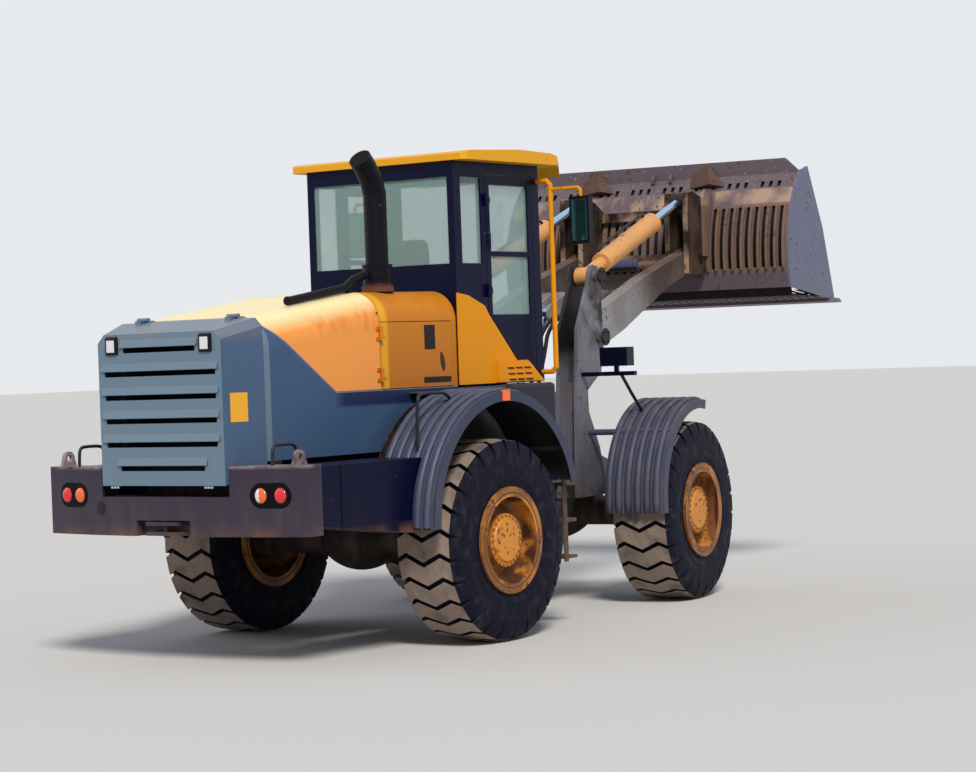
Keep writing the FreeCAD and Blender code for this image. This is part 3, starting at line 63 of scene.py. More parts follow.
class Value:
    """One socket of a finish. Python's signs on it add Math nodes."""

    def __init__(self, finish, socket):
        self.finish = finish
        self.socket = socket

    def math(self, operation, *others):
        return self.finish.node("ShaderNodeMath", {"operation": operation}, (self, *others))

    def sign(operation, swapped=False):
        def apply(self, other):
            pair = (other, self) if swapped else (self, other)
            return self.finish.node("ShaderNodeMath", {"operation": operation}, pair)
        return apply

    __add__ = __radd__ = sign("ADD")
    __mul__ = __rmul__ = sign("MULTIPLY")
    __sub__ = sign("SUBTRACT")
    __rsub__ = sign("SUBTRACT", swapped=True)
    __gt__ = sign("GREATER_THAN")
    __lt__ = sign("LESS_THAN")
    __pow__ = sign("POWER")

    def __abs__(self):
        return self.math("ABSOLUTE")

    def held(self):
        """The value kept between 0 and 1."""
        return self.finish.node("ShaderNodeClamp", {}, (self, 0, 1))

    def rise(self, start, end):
        """0 up to start and 1 from end on."""
        return ((self - start) * (1 / (end - start))).held()

    def within(self, low, high, soft=0.004):
        """1 between low and high, and 0 outside."""
        return self.rise(low - soft, low) * (1 - self.rise(high, high + soft))


class Finish:
    """A material whose even values sit on the shader and whose changing ones are fed to it."""

    def __init__(self, name, colour, roughness, gloss=0.3, **even):
        self.material = bpy.data.materials.new(name)
        self.material.use_nodes = True
        self.tree = self.material.node_tree
        self.shader = self.tree.nodes["Principled BSDF"]
        self.colour = (*colour, 1)
        self.shader.inputs["Base Color"].default_value = self.colour
        self.shader.inputs["Roughness"].default_value = roughness
        self.shader.inputs["Specular IOR Level"].default_value = gloss
        for socket, value in even.items():
            self.shader.inputs[socket.replace("_", " ").title()].default_value = value

    def node(self, kind, settings, inputs=(), output=0):
        made = self.tree.nodes.new(kind)
        for name, value in settings.items():
            setattr(made, name, value)
        places = inputs.items() if isinstance(inputs, dict) else enumerate(inputs)
        for place, value in places:
            if isinstance(value, Value):
                self.tree.links.new(value.socket, made.inputs[place])
            else:
                made.inputs[place].default_value = value
        return Value(self, made.outputs[output])

    def feed(self, socket, value):
        self.tree.links.new(value.socket, self.shader.inputs[socket])

    def mix(self, share, first, second):
        """The first colour where share is 0 and the second where it is 1."""
        return self.node("ShaderNodeMix", {"data_type": "RGBA"}, {0: share, 6: first, 7: second}, 2)

    def spot(self, placing=rest):
        """The place on the piece, counted in the rear frame or along another placing."""
        back = placing.inverted()
        place = self.node("ShaderNodeTexCoord", {}, output=3)
        return self.node("ShaderNodeMapping", {}, {0: place, 1: back.translation, 2: back.to_euler()})

    def along(self, letter, placing=rest):
        return self.node("ShaderNodeSeparateXYZ", {}, (self.spot(placing),), "xyz".index(letter))

    def facing(self, letter):
        """How far the face looks along an axis, from -1 to 1."""
        normal = self.node("ShaderNodeTexCoord", {}, output=1)
        return self.node("ShaderNodeSeparateXYZ", {}, (normal,), "xyz".index(letter))

    def noise(self, scale, detail=4, stretch=(1, 1, 1)):
        place = self.node("ShaderNodeMapping", {}, {0: self.spot(), 3: stretch})
        return self.node("ShaderNodeTexNoise", {}, {"Vector": place, "Scale": scale, "Detail": detail})

    def bump(self, height, distance, strength=1.0):
        self.feed("Normal", self.node("ShaderNodeBump", {}, {
            "Strength": strength, "Distance": distance, "Height": height}))


SAND = (0.40, 0.29, 0.20, 1)
RUST = (0.10, 0.035, 0.014, 1)


def worn_paint(name, colour, dust=0.4, chips=0.3, roughness=0.45, low=0.5, high=1.9, base=None, gloss=0.3):
    """Site paint: dusty low down and on top, chipped to rust here and there."""
    finish = Finish(name, colour, roughness, gloss)
    ground = base(finish) if base else finish.colour
    runs = finish.noise(9, 5, (1, 1, 0.18)).rise(0.45, 0.72)
    depth = 1 - finish.along("z").rise(low, high)
    settled = ((finish.facing("z").rise(0.5, 0.95) * 0.7 + depth * 0.5) * (runs * 0.7 + 0.3) * dust).held()
    body = finish.mix(settled, ground, SAND)
    edge = 0.72 - chips * 0.16
    chipped = finish.noise(26, 6).rise(edge, edge + 0.02) * finish.noise(3.1, 3).rise(0.45, 0.55)
    body = finish.mix(chipped * 0.9, body, RUST)
    finish.feed("Base Color", body)
    finish.feed("Roughness", (settled * 0.4 + chipped * 0.35 + roughness).held())
    finish.bump(runs * 0.2 - chipped, 0.0015, 0.5)
    return finish


def coat(finish, *nodes, ease=0.0):
    """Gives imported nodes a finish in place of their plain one, and eases their edges."""
    for name in nodes:
        node = frame["nodes"][name]
        node.data.materials.clear()
        node.data.materials.append(finish.material)
        if ease:
            soften(node, ease)


def soften(made, width, steps=2):
    """Rounds the sharp edges a little, as plate and castings have them."""
    edges = made.modifiers.new("eased_edges", "BEVEL")
    edges.width = width
    edges.segments = steps
    edges.limit_method = "ANGLE"
    edges.angle_limit = math.radians(38)


def piece(name, body, finishes, mesh, smooth=False, ease=0.0):
    """Turns a finished bmesh into a piece of the machine that rides on a body."""
    data = bpy.data.meshes.new(name)
    bmesh.ops.recalc_face_normals(mesh, faces=mesh.faces)
    mesh.to_mesh(data)
    mesh.free()
    made = bpy.data.objects.new(name, data)
    bpy.context.scene.collection.objects.link(made)
    for finish in finishes if isinstance(finishes, list) else [finishes]:
        data.materials.append(finish.material)
    for face in data.polygons:
        face.use_smooth = smooth
    if ease:
        soften(made, ease)
    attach(made, body)
    return made


def prism(mesh, corners, depth, place, scale=1.0):
    """An outline in the local YZ plane pushed out along local X by a depth."""
    low = [mesh.verts.new(place @ Vector((0, u, v))) for u, v in corners]
    high = [mesh.verts.new(place @ Vector((depth, u * scale, v * scale))) for u, v in corners]
    mesh.faces.new(low[::-1])
    mesh.faces.new(high)
    for number in range(len(corners)):
        after = (number + 1) % len(corners)
        mesh.faces.new((low[number], low[after], high[after], high[number]))


def ring_of(sides, radius, turn=0.0):
    return [(radius * math.cos(turn + 2 * math.pi * k / sides),
             radius * math.sin(turn + 2 * math.pi * k / sides)) for k in range(sides)]


def slab(mesh, low, high, place=rest):
    """A box between two corners of the rear or front frame."""
    outline = [(low[1], low[2]), (high[1], low[2]), (high[1], high[2]), (low[1], high[2])]
    prism(mesh, outline, high[0] - low[0], place @ Matrix.Translation((low[0], 0, 0)))


frame_paint = worn_paint("frame_paint", (0.006, 0.006, 0.010), dust=0.45, chips=0.5, roughness=0.6, gloss=0.12)
coat(frame_paint, "rear_chassis", "cab_base", "engine_block", "radiator", "rear_axle", "front_axle")


# Wheels: earthmover tyres on yellow rims. The tread is a row of heavy rubber bars that zigzag
# from shoulder to shoulder and run on dusty ground, so only their running faces are beige. A
# ring of bolts holds the planetary hub's cover, and the rim's dish is painted dark brown, for
# rust and as painted shade.
LUGS = 26
LUG_TURN = 2 * math.pi / LUGS
HALF_TREAD = [
    # across, outer radius, root radius, share of the zigzag
    (0.0, 0.745, 0.70, 1), (0.075, 0.744, 0.70, 0), (0.15, 0.742, 0.698, -1),
    (0.2285, 0.734, 0.69, 0.15), (0.2535, 0.684, 0.655, 0.5), (0.263, 0.618, 0.612, 0.6),
]
tread = [(-x, *rest_of) for x, *rest_of in HALF_TREAD[:0:-1]] + HALF_TREAD

side_rubber = Finish("side_rubber", (0.004, 0.005, 0.014), 0.62, 0.12)
scuffs = side_rubber.noise(12, 6).rise(0.52, 0.8)
side_rubber.feed("Base Color", side_rubber.mix(scuffs * 0.2, side_rubber.colour, (0.13, 0.12, 0.13, 1)))
side_rubber.bump(side_rubber.noise(40, 4), 0.001, 0.25)

tread_rubber = Finish("tread_rubber", (0.29, 0.22, 0.175), 0.9, 0.15)
rubbed = tread_rubber.noise(5, 5).rise(0.5, 0.72)
tread_rubber.feed("Base Color", tread_rubber.mix(rubbed * 0.75, tread_rubber.colour, (0.05, 0.045, 0.05, 1)))
tread_rubber.bump(tread_rubber.noise(70, 3), 0.0015, 0.4)

bolt_steel = worn_paint("bolt_steel", (0.35, 0.14, 0.03), dust=0.1, chips=0.9, roughness=0.5)


def lathe(mesh, profile, place, steps=96):
    """Turns (across, radius) corners about the local X axis."""
    rings = []
    for step in range(steps):
        turn = 2 * math.pi * step / steps
        rings.append([mesh.verts.new(place @ Vector((x, r * math.cos(turn), r * math.sin(turn))))
                      for x, r in profile])
    for step, ring in enumerate(rings):
        after = rings[(step + 1) % steps]
        for corner in range(len(profile) - 1):
            mesh.faces.new((ring[corner], ring[corner + 1], after[corner + 1], after[corner]))


def carcass_mesh(place):
    """The tyre under its bars, with a raised ring round the sidewall."""
    half = [(0.2465, 0.325), (0.252, 0.36), (0.248, 0.40), (0.259, 0.455), (0.262, 0.463), (0.2585, 0.471),
            (0.266, 0.52), (0.267, 0.56), (0.261, 0.612), (0.25, 0.66), (0.225, 0.695), (0.12, 0.707)]
    mesh = bmesh.new()
    lathe(mesh, half + [(0.0, 0.708)] + [(-x, r) for x, r in half[::-1]], place, 130)
    return mesh


def lug_mesh(place):
    """The bars, whose running faces take the second finish."""
    mesh = bmesh.new()
    for lug in range(LUGS):
        rows = []
        for x, outer, root, zigzag in tread:
            middle = LUG_TURN * (lug + 0.2 * zigzag)
            row = []
            for side, radius, reach in ((-1, root, 0.44), (-1, outer, 0.405), (1, outer, 0.405), (1, root, 0.44)):
                turn = middle + side * reach * LUG_TURN
                row.append(mesh.verts.new(place @ Vector((x, radius * math.cos(turn), radius * math.sin(turn)))))
            rows.append(row)
        for near, far, station in zip(rows, rows[1:], tread):
            for k in range(4):
                face = mesh.faces.new((near[k], near[(k + 1) % 4], far[(k + 1) % 4], far[k]))
                face.material_index = int(k == 1 and -0.2285 <= station[0] < 0.2285)
        mesh.faces.new(rows[0])
        mesh.faces.new(rows[-1][::-1])
    return mesh


def rim_finish(name, centre):
    """Yellow paint at the hub and the flange, the flange darkened in blotches, and between them a dish, wall and groove
    ring painted dark brown for rust and as painted shade.
    """
    def base(finish):
        reach = [finish.along(letter, Matrix.Translation(centre)) for letter in "yz"]
        radius = (reach[0] * reach[0] + reach[1] * reach[1]).math("SQRT")
        dish = radius.within(0.2, 0.312, 0.008)
        wall = radius.within(0.314, 0.333)
        blotches = finish.noise(6, 5).rise(0.4, 0.58)
        ring = radius.within(0.338, 0.35)
        flange = radius.within(0.35, 0.42) * (blotches * 0.6 + 0.4)
        # Painted shade and rust: the dish, its wall and the groove ring are darkened to dark brown, and the flange in
        # blotches.
        dark = (dish * (blotches * 0.3 + 0.6) + (wall * blotches + ring) * 0.8 + flange * 0.75).held()
        return finish.mix(dark, finish.colour, (0.06, 0.016, 0.01, 1))
    return worn_paint(name, (0.66, 0.25, 0.03), dust=0.12, chips=0.8, roughness=0.42, base=base)


for end in ("rear", "front"):
    for side, way in (("right", 1), ("left", -1)):
        wheel = f"{end}_{side}_wheel"
        centre = Vector(joints[wheel + "_spin"]["pos_m"])
        facing = turned.to_3x3().to_4x4() if end == "front" else Matrix.Identity(4)
        place = Matrix.Translation(centre) @ facing @ Matrix.Scale(way, 4, (1, 0, 0))
        carcass = piece(f"{end}_{side}_carcass", wheel, side_rubber, carcass_mesh(place), True)
        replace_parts(carcass, f"{end}_{side}_tyre")
        piece(f"{end}_{side}_lugs", wheel, [side_rubber, tread_rubber], lug_mesh(place), ease=0.006)
        coat(rim_finish(f"{end}_{side}_rim_paint", centre), f"{end}_{side}_rim")
        bolts = bmesh.new()
        for number in range(24):
            turn = 2 * math.pi * number / 24
            seat = place @ Matrix.Translation((0.217, 0.181 * math.cos(turn), 0.181 * math.sin(turn)))
            prism(bolts, ring_of(6, 0.0115), 0.011, seat, 0.9)
        for number in range(3):
            turn = 2 * math.pi * number / 3 + 0.5
            seat = place @ Matrix.Translation((0.231, 0.09 * math.cos(turn), 0.09 * math.sin(turn)))
            prism(bolts, ring_of(8, 0.014), 0.006, seat, 0.8)
        piece(f"{end}_{side}_bolts", wheel, bolt_steel, bolts)


# Counterweight and side boxes: a thick cast bumper with its lamps on thin near-black oval plates
# that stand as painted shade for recesses, and steel boxes along the rear wheels, all in navy that
# is scraped grey along its edges.
def bumper_colours(finish):
    """A round hole painted near black as its shade, pale scraped top edges and rust underneath."""
    x, y, z = (finish.along(letter) for letter in "xyz")
    hole = ((x + 0.61) ** 2 + (z - 1.12) ** 2).math("SQRT")
    # Painted shade: a near-black disc where the round hole is, on the faces at the back.
    dark = (1 - hole.rise(0.048, 0.052)) * (y * -1).rise(3.5, 3.53)
    rubbed = z.rise(1.385, 1.41) * finish.noise(7, 5).rise(0.35, 0.6)
    scraped = finish.mix(rubbed * 0.8, finish.colour, (0.34, 0.27, 0.27, 1))
    under = (1 - z.rise(0.94, 1.02)) * finish.noise(3, 4).rise(0.4, 0.6)
    return finish.mix(dark, finish.mix(under * 0.7, scraped, (0.14, 0.06, 0.035, 1)), (0.003, 0.003, 0.004, 1))


def box_colours(finish):
    """Navy with a scraped pale line along the top and rust along the foot."""
    z = finish.along("z")
    rubbed = z.within(1.455, 1.62, 0.02) * finish.noise(8, 5).rise(0.42, 0.6)
    foot = (1 - z.rise(0.88, 0.97)) * finish.noise(4, 4).rise(0.4, 0.6)
    return finish.mix(foot * 0.8, finish.mix(rubbed * 0.6, finish.colour, (0.4, 0.34, 0.34, 1)), (0.2, 0.09, 0.05, 1))


bumper_paint = worn_paint("bumper_paint", (0.032, 0.027, 0.047), dust=0.2, chips=0.45, roughness=0.5,
                          low=0.9, high=1.5, base=bumper_colours, gloss=0.2)
box_paint = worn_paint("box_paint", (0.001, 0.0025, 0.022), dust=0.04, chips=0.25, roughness=0.35,
                       low=0.8, high=1.3, base=box_colours, gloss=0.1)
coat(bumper_paint, "counterweight", ease=0.008)
coat(box_paint, "side_boxes", ease=0.005)


def lens_finish(name, colour):
    finish = Finish(name, colour, 0.15, coat_weight=0.8)
    finish.bump(finish.noise(170, 1), 0.001, 0.25)
    return finish


lens_red = lens_finish("lens_red", (0.72, 0.012, 0.012))
lens_orange = lens_finish("lens_orange", (0.85, 0.13, 0.01))
lens_white = lens_finish("lens_white", (0.78, 0.74, 0.7))
coat(lens_red, "rear_lamps")
# Near black: painted shade for the lamps' oval recesses, and the bumper's dark seams.
recess_shade_and_seam_black = Finish("recess_shade_and_seam_black", (0.002, 0.002, 0.003), 0.6, 0.1)
chrome_trim = Finish("chrome_trim", (0.6, 0.6, 0.62), 0.2, metallic=1.0)
for side, way in (("right", 1), ("left", -1)):
    for x, y, lens in ((0.837, -3.6305, lens_orange), (0.988, -3.6055, lens_red)):
        dome = bmesh.new()
        facing_back = rest @ Matrix.Translation((way * x, y, 1.21)) @ Matrix.Rotation(math.radians(-90), 4, "Z")
        lathe(dome, [(0, 0.053), (0.007, 0.05), (0.012, 0.038), (0.014, 0.02), (0.0145, 0.001)], facing_back, 40)
        finishes = [lens, lens_white]
        for face in dome.faces:
            middle = face.calc_center_median().x - rear(way * x, 0, 0).x
            face.material_index = int(lens is lens_orange and way > 0 and middle < -0.006)
        piece(f"{side}_tail_lens_{int(x * 1000)}", "rear_frame", finishes, dome, True)
        rim = bmesh.new()
        lathe(rim, [(-0.004, 0.056), (0.004, 0.0565), (0.0045, 0.0535), (-0.004, 0.053)], facing_back, 40)
        piece(f"{side}_tail_lamp_rim_{int(x * 1000)}", "rear_frame", frame_paint, rim, True)
    # A thin near-black oval plate round each pair of lamps, painted shade for a recess.
    recess_shade_plate = bmesh.new()
    oval = [(way_out * 0.0755 + 0.088 * math.cos(math.radians(turn)), 0.088 * math.sin(math.radians(turn)))
            for way_out, first in ((1, -90), (-1, 90)) for turn in range(first, first + 181, 15)]
    facing_out = Matrix.Rotation(math.radians(-90 + way * 9.4), 4, "Z")
    prism(recess_shade_plate, oval, 0.003, rest @ Matrix.Translation((way * 0.9125, -3.618, 1.21)) @ facing_out, 0.97)
    piece(f"{side}_tail_lamp_recess_shade", "rear_frame", recess_shade_and_seam_black, recess_shade_plate)


def pipe(name, body, finish, spots, radius, order=3):
    """A round bar or pipe along a smooth line, riding on one body."""
    line = bpy.data.curves.new(name, "CURVE")
    line.dimensions = "3D"
    line.bevel_depth = radius
    line.bevel_resolution = 4
    line.use_fill_caps = True
    run = line.splines.new("NURBS")
    run.points.add(len(spots) - 1)
    for point, spot in zip(run.points, spots):
        point.co = (*spot, 1)
    run.order_u = order
    run.use_endpoint_u = True
    run.resolution_u = 6
    made = bpy.data.objects.new(name, line)
    bpy.context.scene.collection.objects.link(made)
    line.materials.append(finish.material)
    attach(made, body)
    return made


black_steel = worn_paint("black_steel", (0.008, 0.01, 0.022), dust=0.2, chips=0.5, roughness=0.4)
for side, way in (("right", 1), ("left", -1)):
    pipe(f"{side}_hoop", "rear_frame", black_steel, [
        rear(way * 0.9, -3.57, 1.40), rear(way * 0.9, -3.57, 1.50), rear(way * 0.9, -3.55, 1.545),
        rear(way * 0.9, -3.50, 1.55), rear(way * 0.9, -3.38, 1.55), rear(way * 0.9, -3.33, 1.54),
        rear(way * 0.9, -3.31, 1.50), rear(way * 0.9, -3.31, 1.40)], 0.012)
seam = bmesh.new()
for way in (1, -1):
    slab(seam, (way * 1.198, -3.22, 0.935), (way * 1.2025, -3.208, 1.40))
piece("bumper_seams", "rear_frame", recess_shade_and_seam_black, seam)


# Grille door: a pressed steel shell with six dark slots over the radiator, each under a rolled
# lip. Two work lamps in black housings sit in its top corners and a blank plate on its side.
def grille_colours(finish):
    """Light blue-grey, darkened on the faces that look sideways as painted shade, and browned by exhaust near the top.
    """
    z = finish.along("z")
    sooty = z.rise(2.24, 2.34) * finish.noise(2.2, 3).rise(0.3, 0.7)
    # Painted shade: the faces that look sideways are darkened to a deeper blue.
    painted_flank_shade = abs(finish.facing("x")).rise(0.45, 0.9)
    body = finish.mix(painted_flank_shade * 0.9, finish.colour, (0.044, 0.088, 0.168, 1))
    return finish.mix(sooty * 0.5, body, (0.28, 0.22, 0.2, 1))


grille_paint = worn_paint("grille_paint", (0.135, 0.20, 0.265), dust=0.12, chips=0.05, roughness=0.4, low=1.0, high=1.9,
                          base=grille_colours)
coat(grille_paint, "grille_door", ease=0.012)
lips = bmesh.new()
SLOTS = [(0, 0.391), (1, 0.515), (2, 0.515), (3, 0.515), (4, 0.515), (5, 0.335)]
for number, half in SLOTS:
    top = 1.40 + 0.165 * number + 0.018
    section = [(-3.681, top + 0.055), (-3.694, top + 0.004), (-3.694, top), (-3.66, top), (-3.66, top + 0.055)]
    prism(lips, section, half * 2 + 0.05, rest @ Matrix.Translation((-half - 0.025, 0, 0)))
piece("grille_lips", "grille", grille_paint, lips, ease=0.004)
black_plastic = Finish("black_plastic", (0.004, 0.004, 0.006), 0.38, 0.2)
lamp_glass = Finish("lamp_glass", (0.72, 0.7, 0.72), 0.12, coat_weight=1.0)
lamp_glass.bump(lamp_glass.noise(160, 1), 0.002, 0.3)
plate_yellow = Finish("plate_yellow", (0.78, 0.37, 0.03), 0.45)
for side, way in (("right", 1), ("left", -1)):
    plate = bmesh.new()
    facing_out = Matrix.Rotation(math.radians(90 - way * 109.2), 4, "Z")
    slab(plate, (0, -0.068, -0.10), (0.004, 0.068, 0.10), rest @ Matrix.Translation((way * 0.612, -3.56, 1.81)) @ facing_out)
    piece(f"{side}_blank_plate", "grille", plate_yellow, plate)
for side, x in (("right", 0.435), ("left", -0.435)):
    housing, pane = bmesh.new(), bmesh.new()
    slab(housing, (x - 0.058, -3.698, 2.195), (x + 0.058, -3.66, 2.325))
    slab(pane, (x - 0.036, -3.7005, 2.215), (x + 0.036, -3.696, 2.30))
    piece(f"{side}_work_lamp", "grille", black_plastic, housing, ease=0.014)
    piece(f"{side}_work_lamp_glass", "grille", lamp_glass, pane, ease=0.006)
    latch = bmesh.new()
    for step in range(3):
        slab(latch, (x - 0.04 + step * 0.028, -3.70, 1.262), (x - 0.018 + step * 0.028, -3.672, 1.276))
    piece(f"{side}_grille_latch", "grille", chrome_trim, latch, ease=0.002)


# Hood and its doors: steel skins in orange-yellow, more faded to the rear, and blue-grey below
# a painted line with a navy band under it. Light is painted into this paint: sunlight on the
# tops, a highlight on the doors' pressed rib, shade on the doors' lower part, which also makes
# them darker than the rear, and the blue-grey is the grille's paint darkened as painted shade.
# The doors have an oval pull, a vent strip, and a small black plate that is left blank.
def hood_colours(finish):
    """Yellow above the painted line, a navy band under it and blue-grey lower down. Painted light:
    sunlight on the faces that look up, a highlight on the door's pressed rib, shade on the door
    lower down, and the blue-grey is the grille's paint darkened as painted shade.
    """
    y, z = finish.along("y"), finish.along("z")
    edge = ((y * -1 - 2.59) * 0.683).math("MAXIMUM", 0) + 1.885
    runs = finish.noise(6, 4, (1, 1, 0.15)).rise(0.5, 0.75) * z.rise(2.1, 2.5)
    drips = finish.noise(16, 3, (1, 1, 0.06)).rise(0.46, 0.62) * z.within(2.36, 2.54, 0.08)
    aft = finish.mix((runs * 0.4 + drips * 0.55).held(), (0.90, 0.335, 0.07, 1), (0.68, 0.19, 0.03, 1))
    # Painted light: the faces that look up are lightened towards pale yellow, as sunlight.
    painted_sunlight = finish.mix(finish.facing("z").rise(0.35, 0.85) * 0.9, aft, (1.0, 0.86, 0.46, 1))
    # Painted highlight along the door's pressed rib, just ahead of its edge.
    painted_ridge_highlight = y.within(-2.05, -2.0, 0.04)
    # The door yellow, its darker brown partly painted shade, deepening lower down, with runs of dirt.
    fore = finish.mix((runs * 0.4 + (1 - z.rise(1.9, 2.5)) * 0.5).held(), (0.60, 0.21, 0.010, 1), (0.38, 0.10, 0.010, 1))
    fore = finish.mix(painted_ridge_highlight * 0.8, fore, (0.86, 0.42, 0.014, 1))
    knuckle = abs(finish.along("x")).rise(0.703, 0.706) * y.rise(-2.15, -2.14)
    yellow = finish.mix((y.rise(-2.085, -2.08) + knuckle).held(), painted_sunlight, fore)
    band = (z - edge).rise(-0.125, -0.1) * y.rise(-2.62, -2.5)
    # The grille's blue-grey, darkened on these side faces as painted shade, with a navy band under the line.
    lower = finish.mix(band * 0.9, (0.046, 0.092, 0.185, 1), (0.008, 0.015, 0.06, 1))
    line = (z - edge).within(-0.012, -0.002, 0.002)
    lower = finish.mix(line * 0.5, lower, (0.3, 0.33, 0.36, 1))
    panel = finish.mix((z - edge).rise(-0.002, 0.002), lower, yellow)
    return finish.mix(y < -3.30, panel, grille_paint.colour)


hood_paint = worn_paint("hood_paint", (0.76, 0.29, 0.04), dust=0.08, chips=0.05, roughness=0.34,
                        low=1.2, high=1.7, base=hood_colours, gloss=0.2)
coat(hood_paint, "hood", "engine_door_right", "engine_door_left")
for side, way in (("right", 1), ("left", -1)):
    body = f"{side}_engine_door"
    face = Matrix.Translation((way * 0.7005, 0, 0))
    trim = bmesh.new()
    prism(trim, [(-1.53, 2.345), (-1.40, 2.345), (-1.40, 2.165), (-1.53, 2.165)], way * 0.003, rest @ face)
    prism(trim, [(-1.55, 1.957), (-1.21, 1.957), (-1.21, 1.915), (-1.55, 1.915)], way * 0.003, rest @ face)
    piece(f"{side}_door_plates", body, black_plastic, trim)
    pull = bmesh.new()
    oval = [(0.028 * math.cos(t * math.pi / 12), 0.075 * math.sin(t * math.pi / 12)) for t in range(24)]
    tilt = Matrix.Translation((0, -1.31, 2.07)) @ Matrix.Rotation(math.radians(12), 4, "X")
    prism(pull, oval, way * 0.004, rest @ face @ tilt, 0.86)
    piece(f"{side}_door_pull", body, Finish(f"{side}_pull_rust", (0.05, 0.02, 0.008), 0.6), pull)
screws = bmesh.new()
for way in (1, -1):
    for level in (2.02, 2.33, 2.44):
        prism(screws, ring_of(10, 0.009), way * 0.004, rest @ Matrix.Translation((way * 0.7, -2.10, level)), 0.7)
piece("hood_screws", "rear_frame", black_plastic, screws)


# Shoulder panels: yellow sheet from the hood up beside the cab, with a raised air box that
# has three rows of pressed louvres, each with a thin black strip of painted shade under it.
yellow_paint = worn_paint("yellow_paint", (0.76, 0.285, 0.004), dust=0.05, chips=0.12, roughness=0.36, gloss=0.15)
coat(yellow_paint, "shoulder_panels", ease=0.006)
louvres = bmesh.new()
for way in (1, -1):
    for row in range(3):
        for column in range(3):
            y, z = -0.535 + 0.115 * column + 0.012 * row, 2.01 - 0.045 * row
            section = [(y, z), (y + 0.085, z), (y + 0.085, z - 0.008), (y, z - 0.008)]
            prism(louvres, section, way * 0.016, rest @ Matrix.Translation((way * 0.7545, 0, 0)), 1.0)
piece("air_box_louvres", "rear_frame", yellow_paint, louvres, ease=0.003)
# A thin black strip under each louvre: painted shade beneath its lip.
louvre_shade_strips = bmesh.new()
for way in (1, -1):
    for row in range(3):
        for column in range(3):
            y, z = -0.535 + 0.115 * column + 0.012 * row, 2.001 - 0.045 * row
            prism(louvre_shade_strips, [(y, z), (y + 0.085, z), (y + 0.085, z - 0.01), (y, z - 0.01)], way * 0.002,
                  rest @ Matrix.Translation((way * 0.7545, 0, 0)))
piece("air_box_louvre_shade", "rear_frame", black_plastic, louvre_shade_strips)


# Exhaust and intake pipe: black heat-dulled tube, with a clamp at the can and a rusty flange
# on the hood.
def pipe_colours(finish):
    """Rust at the foot of the stack."""
    foot = (1 - finish.along("z").rise(2.63, 2.67)) * (finish.along("y") > -1.9)
    return finish.mix(foot * 0.8, finish.colour, (0.16, 0.06, 0.035, 1))


pipe_black = worn_paint("pipe_black", (0.002, 0.002, 0.005), dust=0.08, chips=0.2, roughness=0.42, base=pipe_colours,
                        gloss=0.15)
coat(pipe_black, "exhaust_stack", "intake_pipe")
clamp = bmesh.new()
stack = rest @ Matrix.Translation((0.45, -1.75, 0)) @ Matrix.Rotation(math.radians(-90), 4, "Y")
for level in (2.70, 2.785):
    lathe(clamp, [(level, 0.105), (level, 0.1145), (level + 0.018, 0.1145), (level + 0.018, 0.105)], stack, 48)
piece("stack_clamps", "rear_frame", pipe_black, clamp)
flange = bmesh.new()
for number in range(8):
    turn = 2 * math.pi * number / 8
    prism(flange, ring_of(6, 0.012), 0.012, stack @ Matrix.Translation(
        (2.645, 0.1 * math.sin(turn), 0.1 * math.cos(turn))), 0.9)
mouth = bmesh.new()
outlet = rest @ Matrix.Translation((0.45, -1.915, 3.59)) @ Matrix.Rotation(math.radians(-90), 4, "Z") \
    @ Matrix.Rotation(math.radians(-45), 4, "Y")
lathe(mouth, [(0.001, 0.0005), (0.001, 0.077)], outlet, 40)
piece("stack_mouth", "rear_frame", Finish("soot", (0.001, 0.001, 0.001), 1.0), mouth)
rusty = worn_paint("rusty_steel", (0.085, 0.042, 0.032), dust=0.3, chips=0.9, roughness=0.75)
piece("stack_flange_bolts", "rear_frame", rusty, flange)


# Fenders: ribbed moulded sheet over the wheels with a thick navy lip, a marker lamp on top,
# and a grab bar over the hind end.
def fender_colours(finish):
    """A darker navy lip, and painted shade near black on the faces that look down under the arch."""
    lip = abs(finish.along("x")).rise(1.365, 1.372)
    body = finish.mix(lip * 0.8, finish.colour, (0.02, 0.028, 0.065, 1))
    # Painted shade: faces that look down are painted near black.
    return finish.mix(1 - finish.facing("z").rise(-0.35, -0.1), body, (0.004, 0.004, 0.006, 1))


rear_fender_paint = worn_paint("rear_fender_paint", (0.052, 0.066, 0.12), dust=0.18, chips=0.1, roughness=0.42,
                               low=1.2, high=2.0, base=fender_colours)
front_fender_paint = worn_paint("front_fender_paint", (0.042, 0.05, 0.095), dust=0.32, chips=0.1, roughness=0.5,
                                low=1.0, high=2.2)
coat(rear_fender_paint, "rear_fenders", ease=0.004)
coat(front_fender_paint, "front_fenders", ease=0.004)
lip_paint = worn_paint("lip_paint", (0.02, 0.03, 0.075), dust=0.12, chips=0.1, roughness=0.35)
BEAD = [(-0.031, -0.002), (-0.022, 0.016), (-0.008, 0.024), (0.008, 0.024), (0.022, 0.016), (0.031, -0.002)]
FENDERS = [
    # end, body, middle's y and z, radius, foot below the middle, turn of the front end
    ("rear", "rear_frame", rest, -1.48, 0.91, 0.93, 0.02, 14),
    ("front", "front_frame", turned, 1.48, 0.87, 0.80, 0.10, 80),
]
